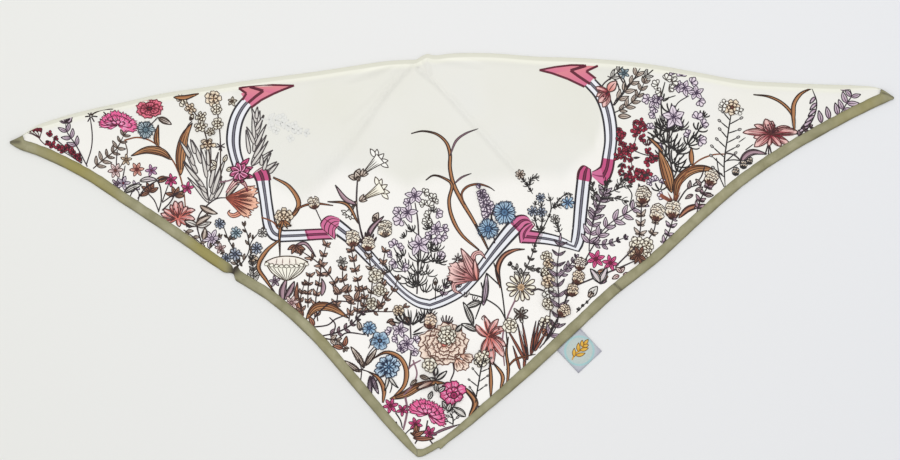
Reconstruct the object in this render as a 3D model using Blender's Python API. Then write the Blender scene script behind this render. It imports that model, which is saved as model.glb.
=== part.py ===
"""Silk square scarf, 0.60 m a side, folded once on its diagonal and laid flat, fold at the back.

The cloth is one continuous wall: a flat under layer, a soft rolled fold and an upper layer
with its creases. A bound hem runs along each open edge of each layer, and a small square
label is sewn to the right-hand edge. The frame has +X along the fold, +Y from the apex to
the fold and +Z up, with the origin in the middle of the footprint, on the surface below.
"""

import math
from typing import NamedTuple

import bmesh
import bpy

MM = 0.001

# Driving dimensions, in millimetres.
HEM = 10.8  # width of the bound hem
SEAM = 0.3  # clear space between neighbouring pieces
WALL = 1.0  # thickness of each layer of cloth
LAYER_GAP = 0.5  # air between the two layers where they lie flat
HEM_WALL = 1.2
FOLD_RADIUS = WALL + LAYER_GAP / 2  # outer radius of the folded edge itself
LABEL_WIDTH = 33.0  # along the hem
LABEL_LENGTH = 32.5  # out from the hem
LABEL_WALL = 0.8
LABEL_PLACE = 156.0  # x of the middle of the label on the open edge

SECTION_STEP = 15.0  # spacing of the cross sections along the fold
PANEL_STEPS = 11  # spans across the flat part of the upper layer
UNDER_STEPS = 3  # spans across the under layer, which lies flat
UNDER_START = 0.5  # the under layer's flat part starts this far inside the rolled edge
TIP_BLUNT = 1.5  # the corners end this far short of a point
LAST_DEPTH = 4.0  # the cloth stops where it is this deep, and the hem goes on
MITRE_DEPTH = 8.5  # depth of the hem at the apex, where the two sides meet
APEX_NARROWING = 4.5  # the hem is pulled this much narrower at the apex
UNDER_PEEK = 1.2  # the under layer's hem reaches this much further out than the upper one
TUCK_X = -187.0  # a small tuck in the left-hand hem


class Section(NamedTuple):
    """A cross section of the outline: where the fold and the open edge lie at one x."""

    x: float
    fold: float
    hem: float


# Millimetres from the middle of the fold. The first and last rows are the two corners.
SECTIONS = (
    Section(x=-420, fold=-87.5, hem=-88.5),
    Section(x=-408, fold=-82.0, hem=-95.5),
    Section(x=-392, fold=-71.5, hem=-101.0),
    Section(x=-370, fold=-63.5, hem=-110.5),
    Section(x=-339, fold=-55.0, hem=-127.0),
    Section(x=-302, fold=-47.0, hem=-151.5),
    Section(x=-262, fold=-38.0, hem=-178.0),
    Section(x=-218, fold=-31.5, hem=-208.5),
    Section(x=-187, fold=-26.5, hem=-229.5),
    Section(x=-151, fold=-21.5, hem=-254.5),
    Section(x=-108, fold=-16.0, hem=-295.0),
    Section(x=-65, fold=-10.0, hem=-343.5),
    Section(x=-30, fold=-4.0, hem=-383.0),
    Section(x=-10, fold=-2.0, hem=-403.5),
    Section(x=0, fold=0.5, hem=-411.5),
    Section(x=8, fold=2.5, hem=-411.0),
    Section(x=17, fold=4.0, hem=-406.0),
    Section(x=33, fold=4.7, hem=-396.0),
    Section(x=74, fold=3.5, hem=-363.5),
    Section(x=124, fold=0.0, hem=-320.5),
    Section(x=162, fold=-1.2, hem=-285.0),
    Section(x=205, fold=-4.0, hem=-245.0),
    Section(x=248, fold=-9.0, hem=-211.0),
    Section(x=291, fold=-16.7, hem=-171.5),
    Section(x=335, fold=-24.3, hem=-133.0),
    Section(x=378, fold=-27.0, hem=-103.0),
    Section(x=421, fold=-28.7, hem=-78.0),
    Section(x=450, fold=-29.6, hem=-62.5),
    Section(x=477, fold=-33.0, hem=-49.5),
    Section(x=492, fold=-42.3, hem=-42.8),
)


class Crease(NamedTuple):
    """A soft ridge in the upper layer, from one point to another, fading at both ends."""

    x0: float
    y0: float
    x1: float
    y1: float
    width: float
    height: float


CREASES = (
    Crease(x0=-6, y0=-12, x1=-112, y1=-141, width=11, height=2.6),
    Crease(x0=0, y0=-10, x1=104, y1=-119, width=9, height=2.0),
    Crease(x0=104, y0=-119, x1=178, y1=-186, width=9, height=1.2),
    Crease(x0=163, y0=-132, x1=148, y1=-200, width=12, height=1.4),
    Crease(x0=-92, y0=-158, x1=-70, y1=-216, width=13, height=1.2),
    Crease(x0=2, y0=-1, x1=-1, y1=-24, width=9, height=3.0),
)

# The rolled fold: distance in from the folded edge, and rise above the flat cloth.
FOLD_ROLL = ((1.25, 0.0), (3.0, 0.7), (5.2, 1.5), (7.6, 2.1), (9.6, 1.8), (13.0, 0.6), (17.0, 0.0))
ROLL_ROOM = 28.0  # a section shallower than this has a proportionally smaller roll


class Curve:
    """A smooth curve y(x) through a few points, with no overshoot worth speaking of."""

    def __init__(self, points):
        self.xs = [x for x, _ in points]
        self.ys = [y for _, y in points]
        steps = [
            (y1 - y0) / (x1 - x0)
            for x0, x1, y0, y1 in zip(self.xs, self.xs[1:], self.ys, self.ys[1:])
        ]
        middle = [(a + b) / 2 for a, b in zip(steps, steps[1:])]
        self.slopes = [steps[0], *middle, steps[-1]]

    def __call__(self, x):
        i = max(i for i in range(len(self.xs) - 1) if i == 0 or self.xs[i] <= x)
        span = self.xs[i + 1] - self.xs[i]
        t = (x - self.xs[i]) / span
        rise = self.ys[i + 1] - self.ys[i]
        a = self.slopes[i] * span - rise
        b = rise - self.slopes[i + 1] * span
        return self.ys[i] + t * rise + t * (1 - t) * (a * (1 - t) + b * t)

    def slope(self, x, reach=1.0):
        return (self(x + reach) - self(x - reach)) / (2 * reach)


FOLD = Curve([(s.x, s.fold) for s in SECTIONS])
LEFT_EDGE = Curve([(s.x, s.hem) for s in SECTIONS if s.x <= 0])
RIGHT_EDGE = Curve([(s.x, s.hem) for s in SECTIONS if s.x >= 0])
LEFT_TIP = SECTIONS[0].x + TIP_BLUNT
RIGHT_TIP = SECTIONS[-1].x - TIP_BLUNT
CENTRE_X = (LEFT_TIP + RIGHT_TIP) / 2
CENTRE_Y = (max(FOLD(x) for x in range(0, 80)) + LEFT_EDGE(0)) / 2


def ease(t):
    """0 to 1, starting and ending level."""
    t = min(1.0, max(0.0, t))
    return t * t * (3 - 2 * t)


def bump(distance, width):
    """1 at the middle, falling smoothly to 0 at one width to either side."""
    return 1 - ease(abs(distance) / width)


def edge_curve(x):
    return LEFT_EDGE if x < 0 else RIGHT_EDGE


def open_edge(x):
    """y of the hem's outer edge. The left hem has a small tuck in it."""
    tuck = 2.5 * bump(x - TUCK_X, 6)
    return edge_curve(x)(x) + tuck


def hem_depth(x):
    """The hem's width measured along a section, which crosses it at a slant."""
    width = HEM - APEX_NARROWING * bump(x, 75 if x < 0 else 115)
    slant = width * math.hypot(1, edge_curve(x).slope(x if abs(x) > 1 else math.copysign(1, x)))
    return slant + (MITRE_DEPTH - slant) * bump(x, 12)


def cloth_edge(x):
    """y where the cloth ends and the hem's seam begins."""
    return edge_curve(x)(x) + hem_depth(x) + SEAM * math.hypot(1, edge_curve(x).slope(x))


def find_cloth_end(tip, inward):
    """The x nearest a corner where the cloth is still LAST_DEPTH deep."""
    x = tip
    while FOLD(x) - cloth_edge(x) < LAST_DEPTH:
        x += inward
    return x


CLOTH_LEFT = find_cloth_end(LEFT_TIP + 2, 0.25)
CLOTH_RIGHT = find_cloth_end(RIGHT_TIP - 2, -0.25)


def crease_rise(x, y):
    """Height of all the creases together at a point of the upper layer."""
    highest = 0.0
    for c in CREASES:
        run = math.hypot(c.x1 - c.x0, c.y1 - c.y0)
        ux, uy = (c.x1 - c.x0) / run, (c.y1 - c.y0) / run
        along = (x - c.x0) * ux + (y - c.y0) * uy
        aside = (x - c.x0) * uy - (y - c.y0) * ux
        fade = min(12.0, run / 2)
        ends = ease((along + fade) / fade) * ease((run + fade - along) / fade)
        highest = over(highest, c.height * bump(aside, c.width) * ends)
    return highest


def over(one, other):
    """The height where two ridges cross: the higher one, lifted a little by the lower."""
    return max(one, other) + 0.3 * min(one, other)


def stations(start, end):
    """x of the cross sections from start to end, both included."""
    count = max(1, round((end - start) / SECTION_STEP))
    return [start + (end - start) * i / count for i in range(count + 1)]


def cloth_ring(x):
    """One section of the folded cloth: a closed loop round the wall, as (x, y, z) points.

    Distances run in from the folded edge. The loop goes along the outside of the under
    layer, round the fold, out along the upper layer, and back inside the wall.
    """
    depth = FOLD(x) - cloth_edge(x)
    scale = min(1.0, depth / ROLL_ROOM)
    roll = [(FOLD_RADIUS + (d - FOLD_RADIUS) * scale, rise * scale) for d, rise in FOLD_ROLL]
    last = roll[-1][0]
    flat = [(last + (depth - last) * i / PANEL_STEPS, 0.0) for i in range(1, PANEL_STEPS + 1)]
    upper = []
    for d, rise in roll + flat:
        fade = ease((d - FOLD_RADIUS) / 5) * ease((depth - d) / 12)
        upper.append((d, 2 * WALL + LAYER_GAP + over(rise, crease_rise(x, FOLD(x) - d) * fade)))
    first = FOLD_RADIUS + UNDER_START
    under = [first + (depth - first) * i / UNDER_STEPS for i in range(UNDER_STEPS, -1, -1)]
    round_outside = [
        (FOLD_RADIUS * (1 - math.sin(turn)), FOLD_RADIUS * (1 - math.cos(turn)))
        for turn in map(math.radians, (30, 90, 150))
    ]
    inner_radius = FOLD_RADIUS - WALL
    loop = [(d, 0.0) for d in under]
    loop += round_outside
    loop += upper
    loop += [(d, z - WALL) for d, z in reversed(upper)]
    loop += [(FOLD_RADIUS - inner_radius, FOLD_RADIUS)]
    loop += [(d, WALL) for d in reversed(under)]
    return [(x, FOLD(x) - d, z) for d, z in loop]


def hem_ring(x, inner_y, low, peek):
    """One section of a hem: a flat band with a rounded outer edge."""
    outer_y = open_edge(x) - peek
    corner = min(0.4, (inner_y - outer_y) / 3)
    profile = (
        (outer_y + corner, low),
        (inner_y, low),
        (inner_y, low + HEM_WALL),
        (outer_y + corner, low + HEM_WALL),
        (outer_y, low + HEM_WALL * 0.7),
        (outer_y, low + HEM_WALL * 0.3),
    )
    return [(x, y, z) for y, z in profile]


def hem_rings(tip, cloth_end, apex, low, peek):
    """Sections of one hem from its corner to the apex, going round the end of the cloth."""
    inward = math.copysign(1, apex - tip)
    rings = [hem_ring(x, FOLD(x), low, 0) for x in (tip, (tip + cloth_end) / 2)]
    rings.append(hem_ring(cloth_end - 2 * SEAM * inward, FOLD(cloth_end), low, 0))
    spots = sorted((cloth_end - SEAM * inward, apex))
    xs = stations(*spots)
    xs += [TUCK_X + offset for offset in (-6, -3, 0, 3, 6) if apex < 0]
    for x in sorted(xs, reverse=inward < 0):
        seam_y = edge_curve(x)(x) + hem_depth(x)
        away = min(abs(x - tip), abs(x - apex)) / 60
        rings.append(hem_ring(x, seam_y, low, peek * ease(away)))
    return rings


def skin(name, rings, material):
    """One object from a row of closed rings, with its two ends capped."""
    mesh = bpy.data.meshes.new(name)
    shape = bmesh.new()
    rows = [
        [shape.verts.new(((x - CENTRE_X) * MM, (y - CENTRE_Y) * MM, z * MM)) for x, y, z in ring]
        for ring in rings
    ]
    for here, there in zip(rows, rows[1:]):
        for i in range(len(here)):
            j = (i + 1) % len(here)
            shape.faces.new((here[i], there[i], there[j], here[j]))
    shape.faces.new(rows[0])
    shape.faces.new(rows[-1])
    bmesh.ops.triangulate(shape, faces=shape.faces[:], ngon_method="EAR_CLIP")
    bmesh.ops.recalc_face_normals(shape, faces=shape.faces[:])
    shape.to_mesh(mesh)
    shape.free()
    mesh.shade_smooth()
    mesh.set_sharp_from_angle(angle=math.radians(50))
    thing = bpy.data.objects.new(name, mesh)
    thing.data.materials.append(material)
    bpy.context.scene.collection.objects.link(thing)
    return thing


def make_material(name, colour, roughness):
    material = bpy.data.materials.new(name)
    material.use_nodes = True
    shader = material.node_tree.nodes["Principled BSDF"]
    shader.inputs["Base Color"].default_value = (*colour, 1)
    shader.inputs["Roughness"].default_value = roughness
    shader.inputs["Metallic"].default_value = 0
    return material


def make_cloth(material):
    xs = stations(CLOTH_LEFT, -SECTION_STEP) + stations(0, CLOTH_RIGHT)
    return skin("silk_square", [cloth_ring(x) for x in xs], material)


def make_hems(material):
    """Four hems: the two open edges of the under layer and of the upper layer."""
    layers = (("under", 0.0, UNDER_PEEK), ("upper", HEM_WALL + SEAM, 0.0))
    sides = (
        ("left", LEFT_TIP, CLOTH_LEFT, -SEAM / 2),
        ("right", RIGHT_TIP, CLOTH_RIGHT, SEAM / 2),
    )
    for layer, low, peek in layers:
        for side, tip, cloth_end, apex in sides:
            skin(f"hem_{layer}_{side}", hem_rings(tip, cloth_end, apex, low, peek), material)


def make_label(material):
    """A flat square flap that lies on the surface, its inner side along the under hem."""
    slope = RIGHT_EDGE.slope(LABEL_PLACE, LABEL_WIDTH / 2)
    along = (1 / math.hypot(1, slope), slope / math.hypot(1, slope))
    out = (along[1], -along[0])
    clear = UNDER_PEEK * math.hypot(1, slope) + SEAM
    middle = (LABEL_PLACE + out[0] * clear, RIGHT_EDGE(LABEL_PLACE) + out[1] * clear)

    def corner(side, reach):
        half = side * LABEL_WIDTH / 2
        return tuple(middle[i] + along[i] * half + out[i] * reach for i in (0, 1))

    outline = [corner(*c) for c in ((-1, 0), (1, 0), (1, LABEL_LENGTH), (-1, LABEL_LENGTH))]
    rings = [[(x, y, z) for x, y in outline] for z in (0.0, LABEL_WALL)]
    return skin("label", rings, material)


def main():
    for old in list(bpy.data.objects):
        bpy.data.objects.remove(old, do_unlink=True)
    silk = make_material("silk", (0.87, 0.87, 0.81), 0.45)
    hem = make_material("hem", (0.37, 0.34, 0.20), 0.6)
    label = make_material("label", (0.62, 0.69, 0.68), 0.4)
    make_cloth(silk)
    make_hems(hem)
    make_label(label)


main()
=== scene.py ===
"""Looks of the silk square scarf: folded once on its diagonal and laid flat, fold at the back.

Everything is drawn in millimetres from the middle of the fold, +X along the fold and +Y
towards it, as in the CAD part, and placed in the world only when a mesh is written.
"""

import math
import random

import bmesh
import bpy
import numpy as np
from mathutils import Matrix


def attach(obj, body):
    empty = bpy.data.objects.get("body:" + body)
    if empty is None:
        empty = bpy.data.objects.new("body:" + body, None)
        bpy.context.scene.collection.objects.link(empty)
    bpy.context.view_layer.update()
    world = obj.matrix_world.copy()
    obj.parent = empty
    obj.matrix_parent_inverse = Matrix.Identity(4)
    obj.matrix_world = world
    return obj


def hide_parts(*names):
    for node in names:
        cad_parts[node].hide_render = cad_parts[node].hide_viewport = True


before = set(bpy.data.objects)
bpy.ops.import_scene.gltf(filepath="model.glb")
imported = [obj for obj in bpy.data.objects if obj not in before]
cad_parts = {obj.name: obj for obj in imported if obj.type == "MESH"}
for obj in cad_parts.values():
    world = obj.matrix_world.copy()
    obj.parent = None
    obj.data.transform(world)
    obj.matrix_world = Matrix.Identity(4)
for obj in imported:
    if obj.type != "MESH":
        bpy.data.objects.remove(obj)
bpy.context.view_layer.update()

MM = 0.001

# ---------------------------------------------------------------- outline

HEM = 10.8  # width of the binding
SEAM = 0.3  # clear space between neighbouring pieces
MITRE_DEPTH, MITRE_REACH = 8.5, 12.0  # the hem's depth at the front corner, and how far that reaches
LEFT_NARROWING, LEFT_REACH = 1.4, 60.0  # the left hem is pulled this much narrower near that corner
RIGHT_NARROWING, RIGHT_REACH = 4.5, 115.0  # and the right one this much
CORNER_SLOPES = (-0.8, 0.5)  # of the left and the right edge at the very corner
TUCK_X = -189.0  # a small tuck in the left hem
NICK_X = 24.0  # a small step outward in the right one
TIP_BLUNT = 1.5  # the two long corners end this far short of a point
LAST_DEPTH = 4.0  # the cloth stops where it is this deep, and the hem goes on
LABEL_PLACE = 156.0  # x of the middle of the label on the open edge
LABEL_WIDTH = 33.0  # along the hem
LABEL_LENGTH = 32.5  # out from the hem
UNDER_PEEK = 0.5  # the under layer's hem reaches this much further out than the upper one

# x, the fold's y and the hem's outer y. The first and last rows are the two long corners.
SECTIONS = (
    (-420, -87.5, -88.5),
    (-408, -82.0, -95.5),
    (-392, -71.5, -101.0),
    (-370, -63.5, -110.5),
    (-339, -55.0, -127.0),
    (-302, -47.0, -151.5),
    (-262, -38.0, -178.0),
    (-218, -31.5, -208.5),
    (-187, -26.5, -229.5),
    (-151, -21.5, -252.5),
    (-108, -16.0, -291.0),
    (-65, -9.5, -340.5),
    (-30, -4.5, -381.5),
    (-10, -3.3, -402.5),
    (-2, -3.1, -409.6),
    (0, -2.6, -411.5),
    (3, -0.6, -411.6),
    (7, 1.5, -410.6),
    (11, 2.9, -408.6),
    (15.5, 1.6, -406.2),
    (21, 1.4, -402.8),
    (33, 3.0, -396.0),
    (74, 3.5, -363.5),
    (124, 0.0, -320.5),
    (162, -1.2, -285.0),
    (205, -4.0, -245.0),
    (248, -9.0, -211.0),
    (291, -16.7, -171.5),
    (335, -24.3, -133.0),
    (378, -27.0, -103.0),
    (421, -28.7, -78.0),
    (450, -29.6, -62.5),
    (477, -33.0, -49.5),
    (492, -42.3, -42.8),
)


def curve(points, x):
    """A smooth curve through a few points, read at every x."""
    px, py = (np.array(c, float) for c in zip(*points))
    steps = np.diff(py) / np.diff(px)
    slopes = np.concatenate([steps[:1], (steps[:-1] + steps[1:]) / 2, steps[-1:]])
    i = np.clip(np.searchsorted(px, x, side="right") - 1, 0, len(px) - 2)
    span = px[i + 1] - px[i]
    t = (x - px[i]) / span
    rise = py[i + 1] - py[i]
    a = slopes[i] * span - rise
    b = rise - slopes[i + 1] * span
    return py[i] + t * rise + t * (1 - t) * (a * (1 - t) + b * t)


def ease(t):
    t = np.clip(t, 0.0, 1.0)
    return t * t * (3 - 2 * t)


def bump(distance, width):
    return 1 - ease(np.abs(distance) / width)


GRID_STEP = 0.25
GRID_X = np.arange(SECTIONS[0][0], SECTIONS[-1][0] + GRID_STEP, GRID_STEP)
GRID_FOLD = curve([(x, fold) for x, fold, _ in SECTIONS], GRID_X)


def lay_out_hem():
    """At every GRID_X: the hem's outer edge, its depth along Y, and where the cloth ends."""
    on_left = GRID_X < 0
    left = [(x, hem) for x, _, hem in SECTIONS if x <= 0]
    right = [(x, hem) for x, _, hem in SECTIONS if x >= 0]
    edge = np.where(on_left, curve(left, GRID_X), curve(right, GRID_X))
    slope = np.gradient(edge, GRID_X)
    slope = np.where(np.abs(GRID_X) < 1, np.where(on_left, *CORNER_SLOPES), slope)
    stretch = np.hypot(1, slope)
    narrowing = np.where(on_left, LEFT_NARROWING, RIGHT_NARROWING)
    reach = np.where(on_left, LEFT_REACH, RIGHT_REACH)
    depth = (HEM + SEAM - narrowing * bump(GRID_X, reach)) * stretch
    depth = depth + (MITRE_DEPTH - depth) * bump(GRID_X, MITRE_REACH)
    return edge, depth, edge + depth + SEAM * stretch


GRID_EDGE, GRID_HEM, GRID_CLOTH = lay_out_hem()


def fold_y(x):
    return np.interp(x, GRID_X, GRID_FOLD)


def edge_y(x):
    return np.interp(x, GRID_X, GRID_EDGE)


def hem_depth(x):
    return np.interp(x, GRID_X, GRID_HEM)


def cloth_y(x):
    """Where the cloth ends and the hem begins."""
    return np.interp(x, GRID_X, GRID_CLOTH)


def cloth_ends():
    """The x where the cloth stops near each long corner."""
    wide = GRID_X[(GRID_FOLD - GRID_CLOTH) >= LAST_DEPTH]
    return float(wide.min()), float(wide.max())


LEFT_TIP = SECTIONS[0][0] + TIP_BLUNT
RIGHT_TIP = SECTIONS[-1][0] - TIP_BLUNT
CENTRE_X = (LEFT_TIP + RIGHT_TIP) / 2
CENTRE_Y = (float(GRID_FOLD.max()) + float(edge_y(0))) / 2
CLOTH_LEFT, CLOTH_RIGHT = cloth_ends()

# ---------------------------------------------------------------- the cloth's surface

UNDER_Z = 0.5  # middle of the under layer
FLAT_Z = 2.2  # top of the upper layer where it lies flat
SHELL = 0.3  # thickness of the silk
ROLL_ROOM, SMALLEST_ROLL = 28.0, 0.25  # cloth shallower than this has a smaller roll, down to this share
EDGE_FADE = 14.0  # creases and ripples die out over this much towards the hem
CREASE_FADE = 14.0  # and a crease dies out over this much beyond each of its ends
CROSSING_SHARE = 0.3  # of the lower ridge, added to the higher where two cross

# Soft ridges: from x, y, to x, y, half width, height
CREASES = (
    (-3, -6, 6, -17, 2.4, 2.0),
    (8, 0, 12, -14, 4.0, 2.6),
    (-8, -10, -34, -40, 3.6, 2.4),
    (-34, -40, -52, -64, 4.5, 2.2),
    (-52, -64, -112, -141, 6.5, 2.4),
    (-16, -8, -70, -60, 7, 1.2),
    (0, -10, 36, -44, 2.6, 2.0),
    (36, -44, 104, -119, 4.5, 2.2),
    (104, -119, 178, -186, 10, 1.4),
    (163, -132, 148, -200, 12, 1.4),
    (-92, -158, -70, -216, 13, 1.6),
    (-14, -4, -64, -22, 5, 1.4),
    (6, 0, 60, -8, 5, 1.0),
    (-60, -330, -30, -230, 24, 0.9),
    (60, -300, 120, -230, 22, 0.9),
    (-190, -60, -160, -150, 16, 1.0),
    (230, -40, 300, -110, 20, 1.2),
    (-300, -70, -330, -105, 14, 0.9),
)
# The rolled fold: distance in from the folded edge, and rise above the flat cloth
ROLL = (
    (0.0, -1.1), (0.6, -0.1), (1.6, 0.6), (3.0, 1.4), (4.4, 1.8), (5.6, 1.6),
    (7.2, 1.0), (9.5, 0.4), (12.0, 0.12), (16.0, 0.0), (600.0, 0.0),
)
ROLL_D, ROLL_Z = (np.array(c) for c in zip(*ROLL))


def crease_rise(x, y):
    """How much the creases lift the silk."""
    highest = np.zeros_like(x)
    for x0, y0, x1, y1, width, height in CREASES:
        run = math.hypot(x1 - x0, y1 - y0)
        ux, uy = (x1 - x0) / run, (y1 - y0) / run
        forward = (x - x0) * ux + (y - y0) * uy
        aside = (x - x0) * uy - (y - y0) * ux
        fade = min(CREASE_FADE, run / 2)
        ends = ease((forward + fade) / fade) * ease((run + fade - forward) / fade)
        lift = height * bump(aside, width) * ends
        highest = np.maximum(highest, lift) + CROSSING_SHARE * np.minimum(highest, lift)
    return highest


def ripple(x, y):
    """Slow unevenness of silk laid down by hand: two crossed waves, 80 to 330 mm long."""
    a = np.sin(x / 13.0 + 1.7 * np.sin(y / 41.0)) * np.sin(y / 17.0 + 0.8 * np.sin(x / 29.0))
    b = np.sin(x / 31.0 + y / 23.0 + 1.1) * np.cos(y / 37.0 - x / 53.0)
    return 0.22 * a + 0.4 * b


def roll_scale(x):
    """The roll's share of its full size."""
    return np.clip((fold_y(x) - cloth_y(x)) / ROLL_ROOM, SMALLEST_ROLL, 1.0)


def top_z(x, y):
    """Height of the upper layer's top, in millimetres."""
    x, y = np.asarray(x, float), np.asarray(y, float)
    inward = fold_y(x) - y
    scale = roll_scale(x)
    roll = np.interp(inward / scale, ROLL_D, ROLL_Z) * scale
    from_hem = ease((y - cloth_y(x)) / EDGE_FADE)
    rippling = ease((inward - 3) / EDGE_FADE) * from_hem
    creasing = ease((inward - 1) / 5) * from_hem
    lift = crease_rise(x, y) * creasing + ripple(x, y) * rippling
    return FLAT_Z + roll + lift


# ---------------------------------------------------------------- meshes


def to_world(x, y, z):
    """Places in metres in the shared frame, from millimetres."""
    return np.stack([(x - CENTRE_X) * MM, (y - CENTRE_Y) * MM, z * MM], axis=-1)


def new_object(name, points, faces, material, smooth=True):
    mesh = bpy.data.meshes.new(name)
    mesh.from_pydata([tuple(p) for p in points], [], [tuple(f) for f in faces])
    mesh.update()
    if smooth:
        mesh.shade_smooth()
    obj = bpy.data.objects.new(name, mesh)
    mesh.materials.append(material)
    bpy.context.scene.collection.objects.link(obj)
    return obj


def grid_faces(rows, columns, closed=False):
    """Four-sided faces between rows of points. A closed grid joins each row's ends."""
    faces = []
    across = columns if closed else columns - 1
    for r in range(rows - 1):
        for c in range(across):
            a, b = r * columns + c, r * columns + (c + 1) % columns
            faces.append((a, b, b + columns, a + columns))
    return faces


# ---------------------------------------------------------------- materials


def srgb(*values):
    """Colour from 0..255 display values, as linear light."""
    return tuple(
        v / 255 / 12.92 if v / 255 <= 0.04045 else ((v / 255 + 0.055) / 1.055) ** 2.4
        for v in values
    )


def new_material(name, roughness):
    material = bpy.data.materials.new(name)
    material.use_nodes = True
    shader = material.node_tree.nodes["Principled BSDF"]
    shader.inputs["Roughness"].default_value = roughness
    shader.inputs["Metallic"].default_value = 0
    return material, material.node_tree, shader


def add(tree, kind, **settings):
    node = tree.nodes.new(kind)
    for key, value in settings.items():
        setattr(node, key, value)
    return node


def noise(tree, vector, scale, detail=3.0, distortion=0.0):
    node = add(tree, "ShaderNodeTexNoise")
    node.inputs["Scale"].default_value = scale
    node.inputs["Detail"].default_value = detail
    node.inputs["Distortion"].default_value = distortion
    tree.links.new(vector, node.inputs["Vector"])
    return node


def ramp(tree, factor, stops):
    node = add(tree, "ShaderNodeValToRGB")
    elements = node.color_ramp.elements
    while len(elements) < len(stops):
        elements.new(0.5)
    for element, (place, colour) in zip(elements, stops):
        element.position = place
        element.color = (*colour, 1)
    tree.links.new(factor, node.inputs["Fac"])
    return node


def coordinates(tree):
    return add(tree, "ShaderNodeTexCoord").outputs["Object"]


THREAD_HEIGHT = 0.0002  # metres


def weave_bump(tree, shader, vector, scale, strength):
    """Fine threads as a bump, far below a millimetre."""
    wave = add(tree, "ShaderNodeTexWave", bands_direction="DIAGONAL")
    wave.inputs["Scale"].default_value = scale
    wave.inputs["Distortion"].default_value = 1.5
    tree.links.new(vector, wave.inputs["Vector"])
    bump_node = add(tree, "ShaderNodeBump")
    bump_node.inputs["Strength"].default_value = strength
    bump_node.inputs["Distance"].default_value = THREAD_HEIGHT
    tree.links.new(wave.outputs["Fac"], bump_node.inputs["Height"])
    tree.links.new(bump_node.outputs["Normal"], shader.inputs["Normal"])


def silk_material():
    """Ivory silk. The mesh says how much of it is printed ground, and where it turns at the fold. Its
    colour shows that turn as painted shade on a duller strip and a painted highlight on a bright one.
    """
    material, tree, shader = new_material("silk", 0.5)
    vector = coordinates(tree)
    slow = noise(tree, vector, 9.0, 2.0)
    colours = ramp(
        tree,
        slow.outputs["Fac"],
        ((0.3, srgb(233, 232, 222)), (0.55, srgb(236, 235, 228)), (0.75, srgb(234, 234, 230))),
    )
    printed = add(tree, "ShaderNodeAttribute", attribute_name="printed")
    ground = add(tree, "ShaderNodeMix", data_type="RGBA")
    tree.links.new(printed.outputs["Fac"], ground.inputs["Factor"])
    tree.links.new(colours.outputs["Color"], ground.inputs["A"])
    ground.inputs["B"].default_value = (*srgb(253, 250, 246), 1)
    # painted shade and a painted highlight along the fold, read from the mesh
    shade = add(tree, "ShaderNodeAttribute", attribute_name="fold_tint")
    mix = add(tree, "ShaderNodeMix", data_type="RGBA")
    amount = ramp(tree, shade.outputs["Fac"], ((0.0, (0, 0, 0)), (0.3, (1, 1, 1))))
    strip = ramp(tree, shade.outputs["Fac"], ((0.4, srgb(248, 247, 234)), (0.8, srgb(226, 225, 210))))
    tree.links.new(amount.outputs["Color"], mix.inputs["Factor"])
    tree.links.new(ground.outputs["Result"], mix.inputs["A"])
    tree.links.new(strip.outputs["Color"], mix.inputs["B"])
    tree.links.new(mix.outputs["Result"], shader.inputs["Base Color"])
    shader.inputs["Sheen Weight"].default_value = 0.15
    shader.inputs["Specular IOR Level"].default_value = 0.35
    weave_bump(tree, shader, vector, 900.0, 0.15)
    return material


def hem_material():
    """Olive binding, mottled and yellowed in places, with painted shade along both rounded edges (a stitch
    line too at the inner one) and a slight painted highlight along its crown.
    """
    material, tree, shader = new_material("hem", 0.6)
    vector = coordinates(tree)
    mottle = noise(tree, vector, 70.0, 4.0, 0.4)
    greenish = ramp(
        tree,
        mottle.outputs["Fac"],
        ((0.3, srgb(140, 136, 102)), (0.5, srgb(154, 150, 117)), (0.7, srgb(167, 163, 131))),
    )
    patches = noise(tree, vector, 30.0, 2.0)
    aged = add(tree, "ShaderNodeAttribute", attribute_name="aged")
    both = add(tree, "ShaderNodeMath", operation="MULTIPLY_ADD")
    tree.links.new(patches.outputs["Fac"], both.inputs[0])
    both.inputs[1].default_value = 0.6
    tree.links.new(aged.outputs["Fac"], both.inputs[2])
    yellow = ramp(tree, both.outputs["Value"], ((0.36, (0, 0, 0)), (0.85, (1, 1, 1))))
    mix = add(tree, "ShaderNodeMix", data_type="RGBA")
    tree.links.new(yellow.outputs["Color"], mix.inputs["Factor"])
    tree.links.new(greenish.outputs["Color"], mix.inputs["A"])
    mix.inputs["B"].default_value = (*srgb(152, 143, 82), 1)
    # painted shade along both edges of the binding (a stitch line too at the inner one) and a slight
    # painted highlight along its crown
    across = add(tree, "ShaderNodeAttribute", attribute_name="across")
    shade = ramp(
        tree,
        across.outputs["Fac"],
        ((0.0, (0.42, 0.4, 0.34)), (0.1, (0.88, 0.88, 0.84)), (0.4, (1.06, 1.05, 1.05)),
         (0.8, (0.98, 0.97, 0.95)), (0.9, (0.8, 0.78, 0.72)), (0.97, (0.5, 0.48, 0.42))),
    )
    shaded = add(tree, "ShaderNodeMix", data_type="RGBA", blend_type="MULTIPLY")
    shaded.inputs["Factor"].default_value = 1
    tree.links.new(mix.outputs["Result"], shaded.inputs["A"])
    tree.links.new(shade.outputs["Color"], shaded.inputs["B"])
    # painted shade in the tuck and at the long corners, and a joint's dark line, mixed in from the mark
    # attribute
    mark = add(tree, "ShaderNodeAttribute", attribute_name="mark")
    marked = add(tree, "ShaderNodeMix", data_type="RGBA")
    tree.links.new(mark.outputs["Fac"], marked.inputs["Factor"])
    tree.links.new(shaded.outputs["Result"], marked.inputs["A"])
    marked.inputs["B"].default_value = (*srgb(44, 30, 14), 1)
    tree.links.new(marked.outputs["Result"], shader.inputs["Base Color"])
    shader.inputs["Sheen Weight"].default_value = 0.2
    weave_bump(tree, shader, vector, 600.0, 0.3)
    return material


# ---------------------------------------------------------------- cloth and hems

UNDER_POINTS = 10  # across the under layer
PANEL_POINTS, PANEL_CROWDING = 100, 1.3  # across the upper layer, closer together towards the roll
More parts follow.
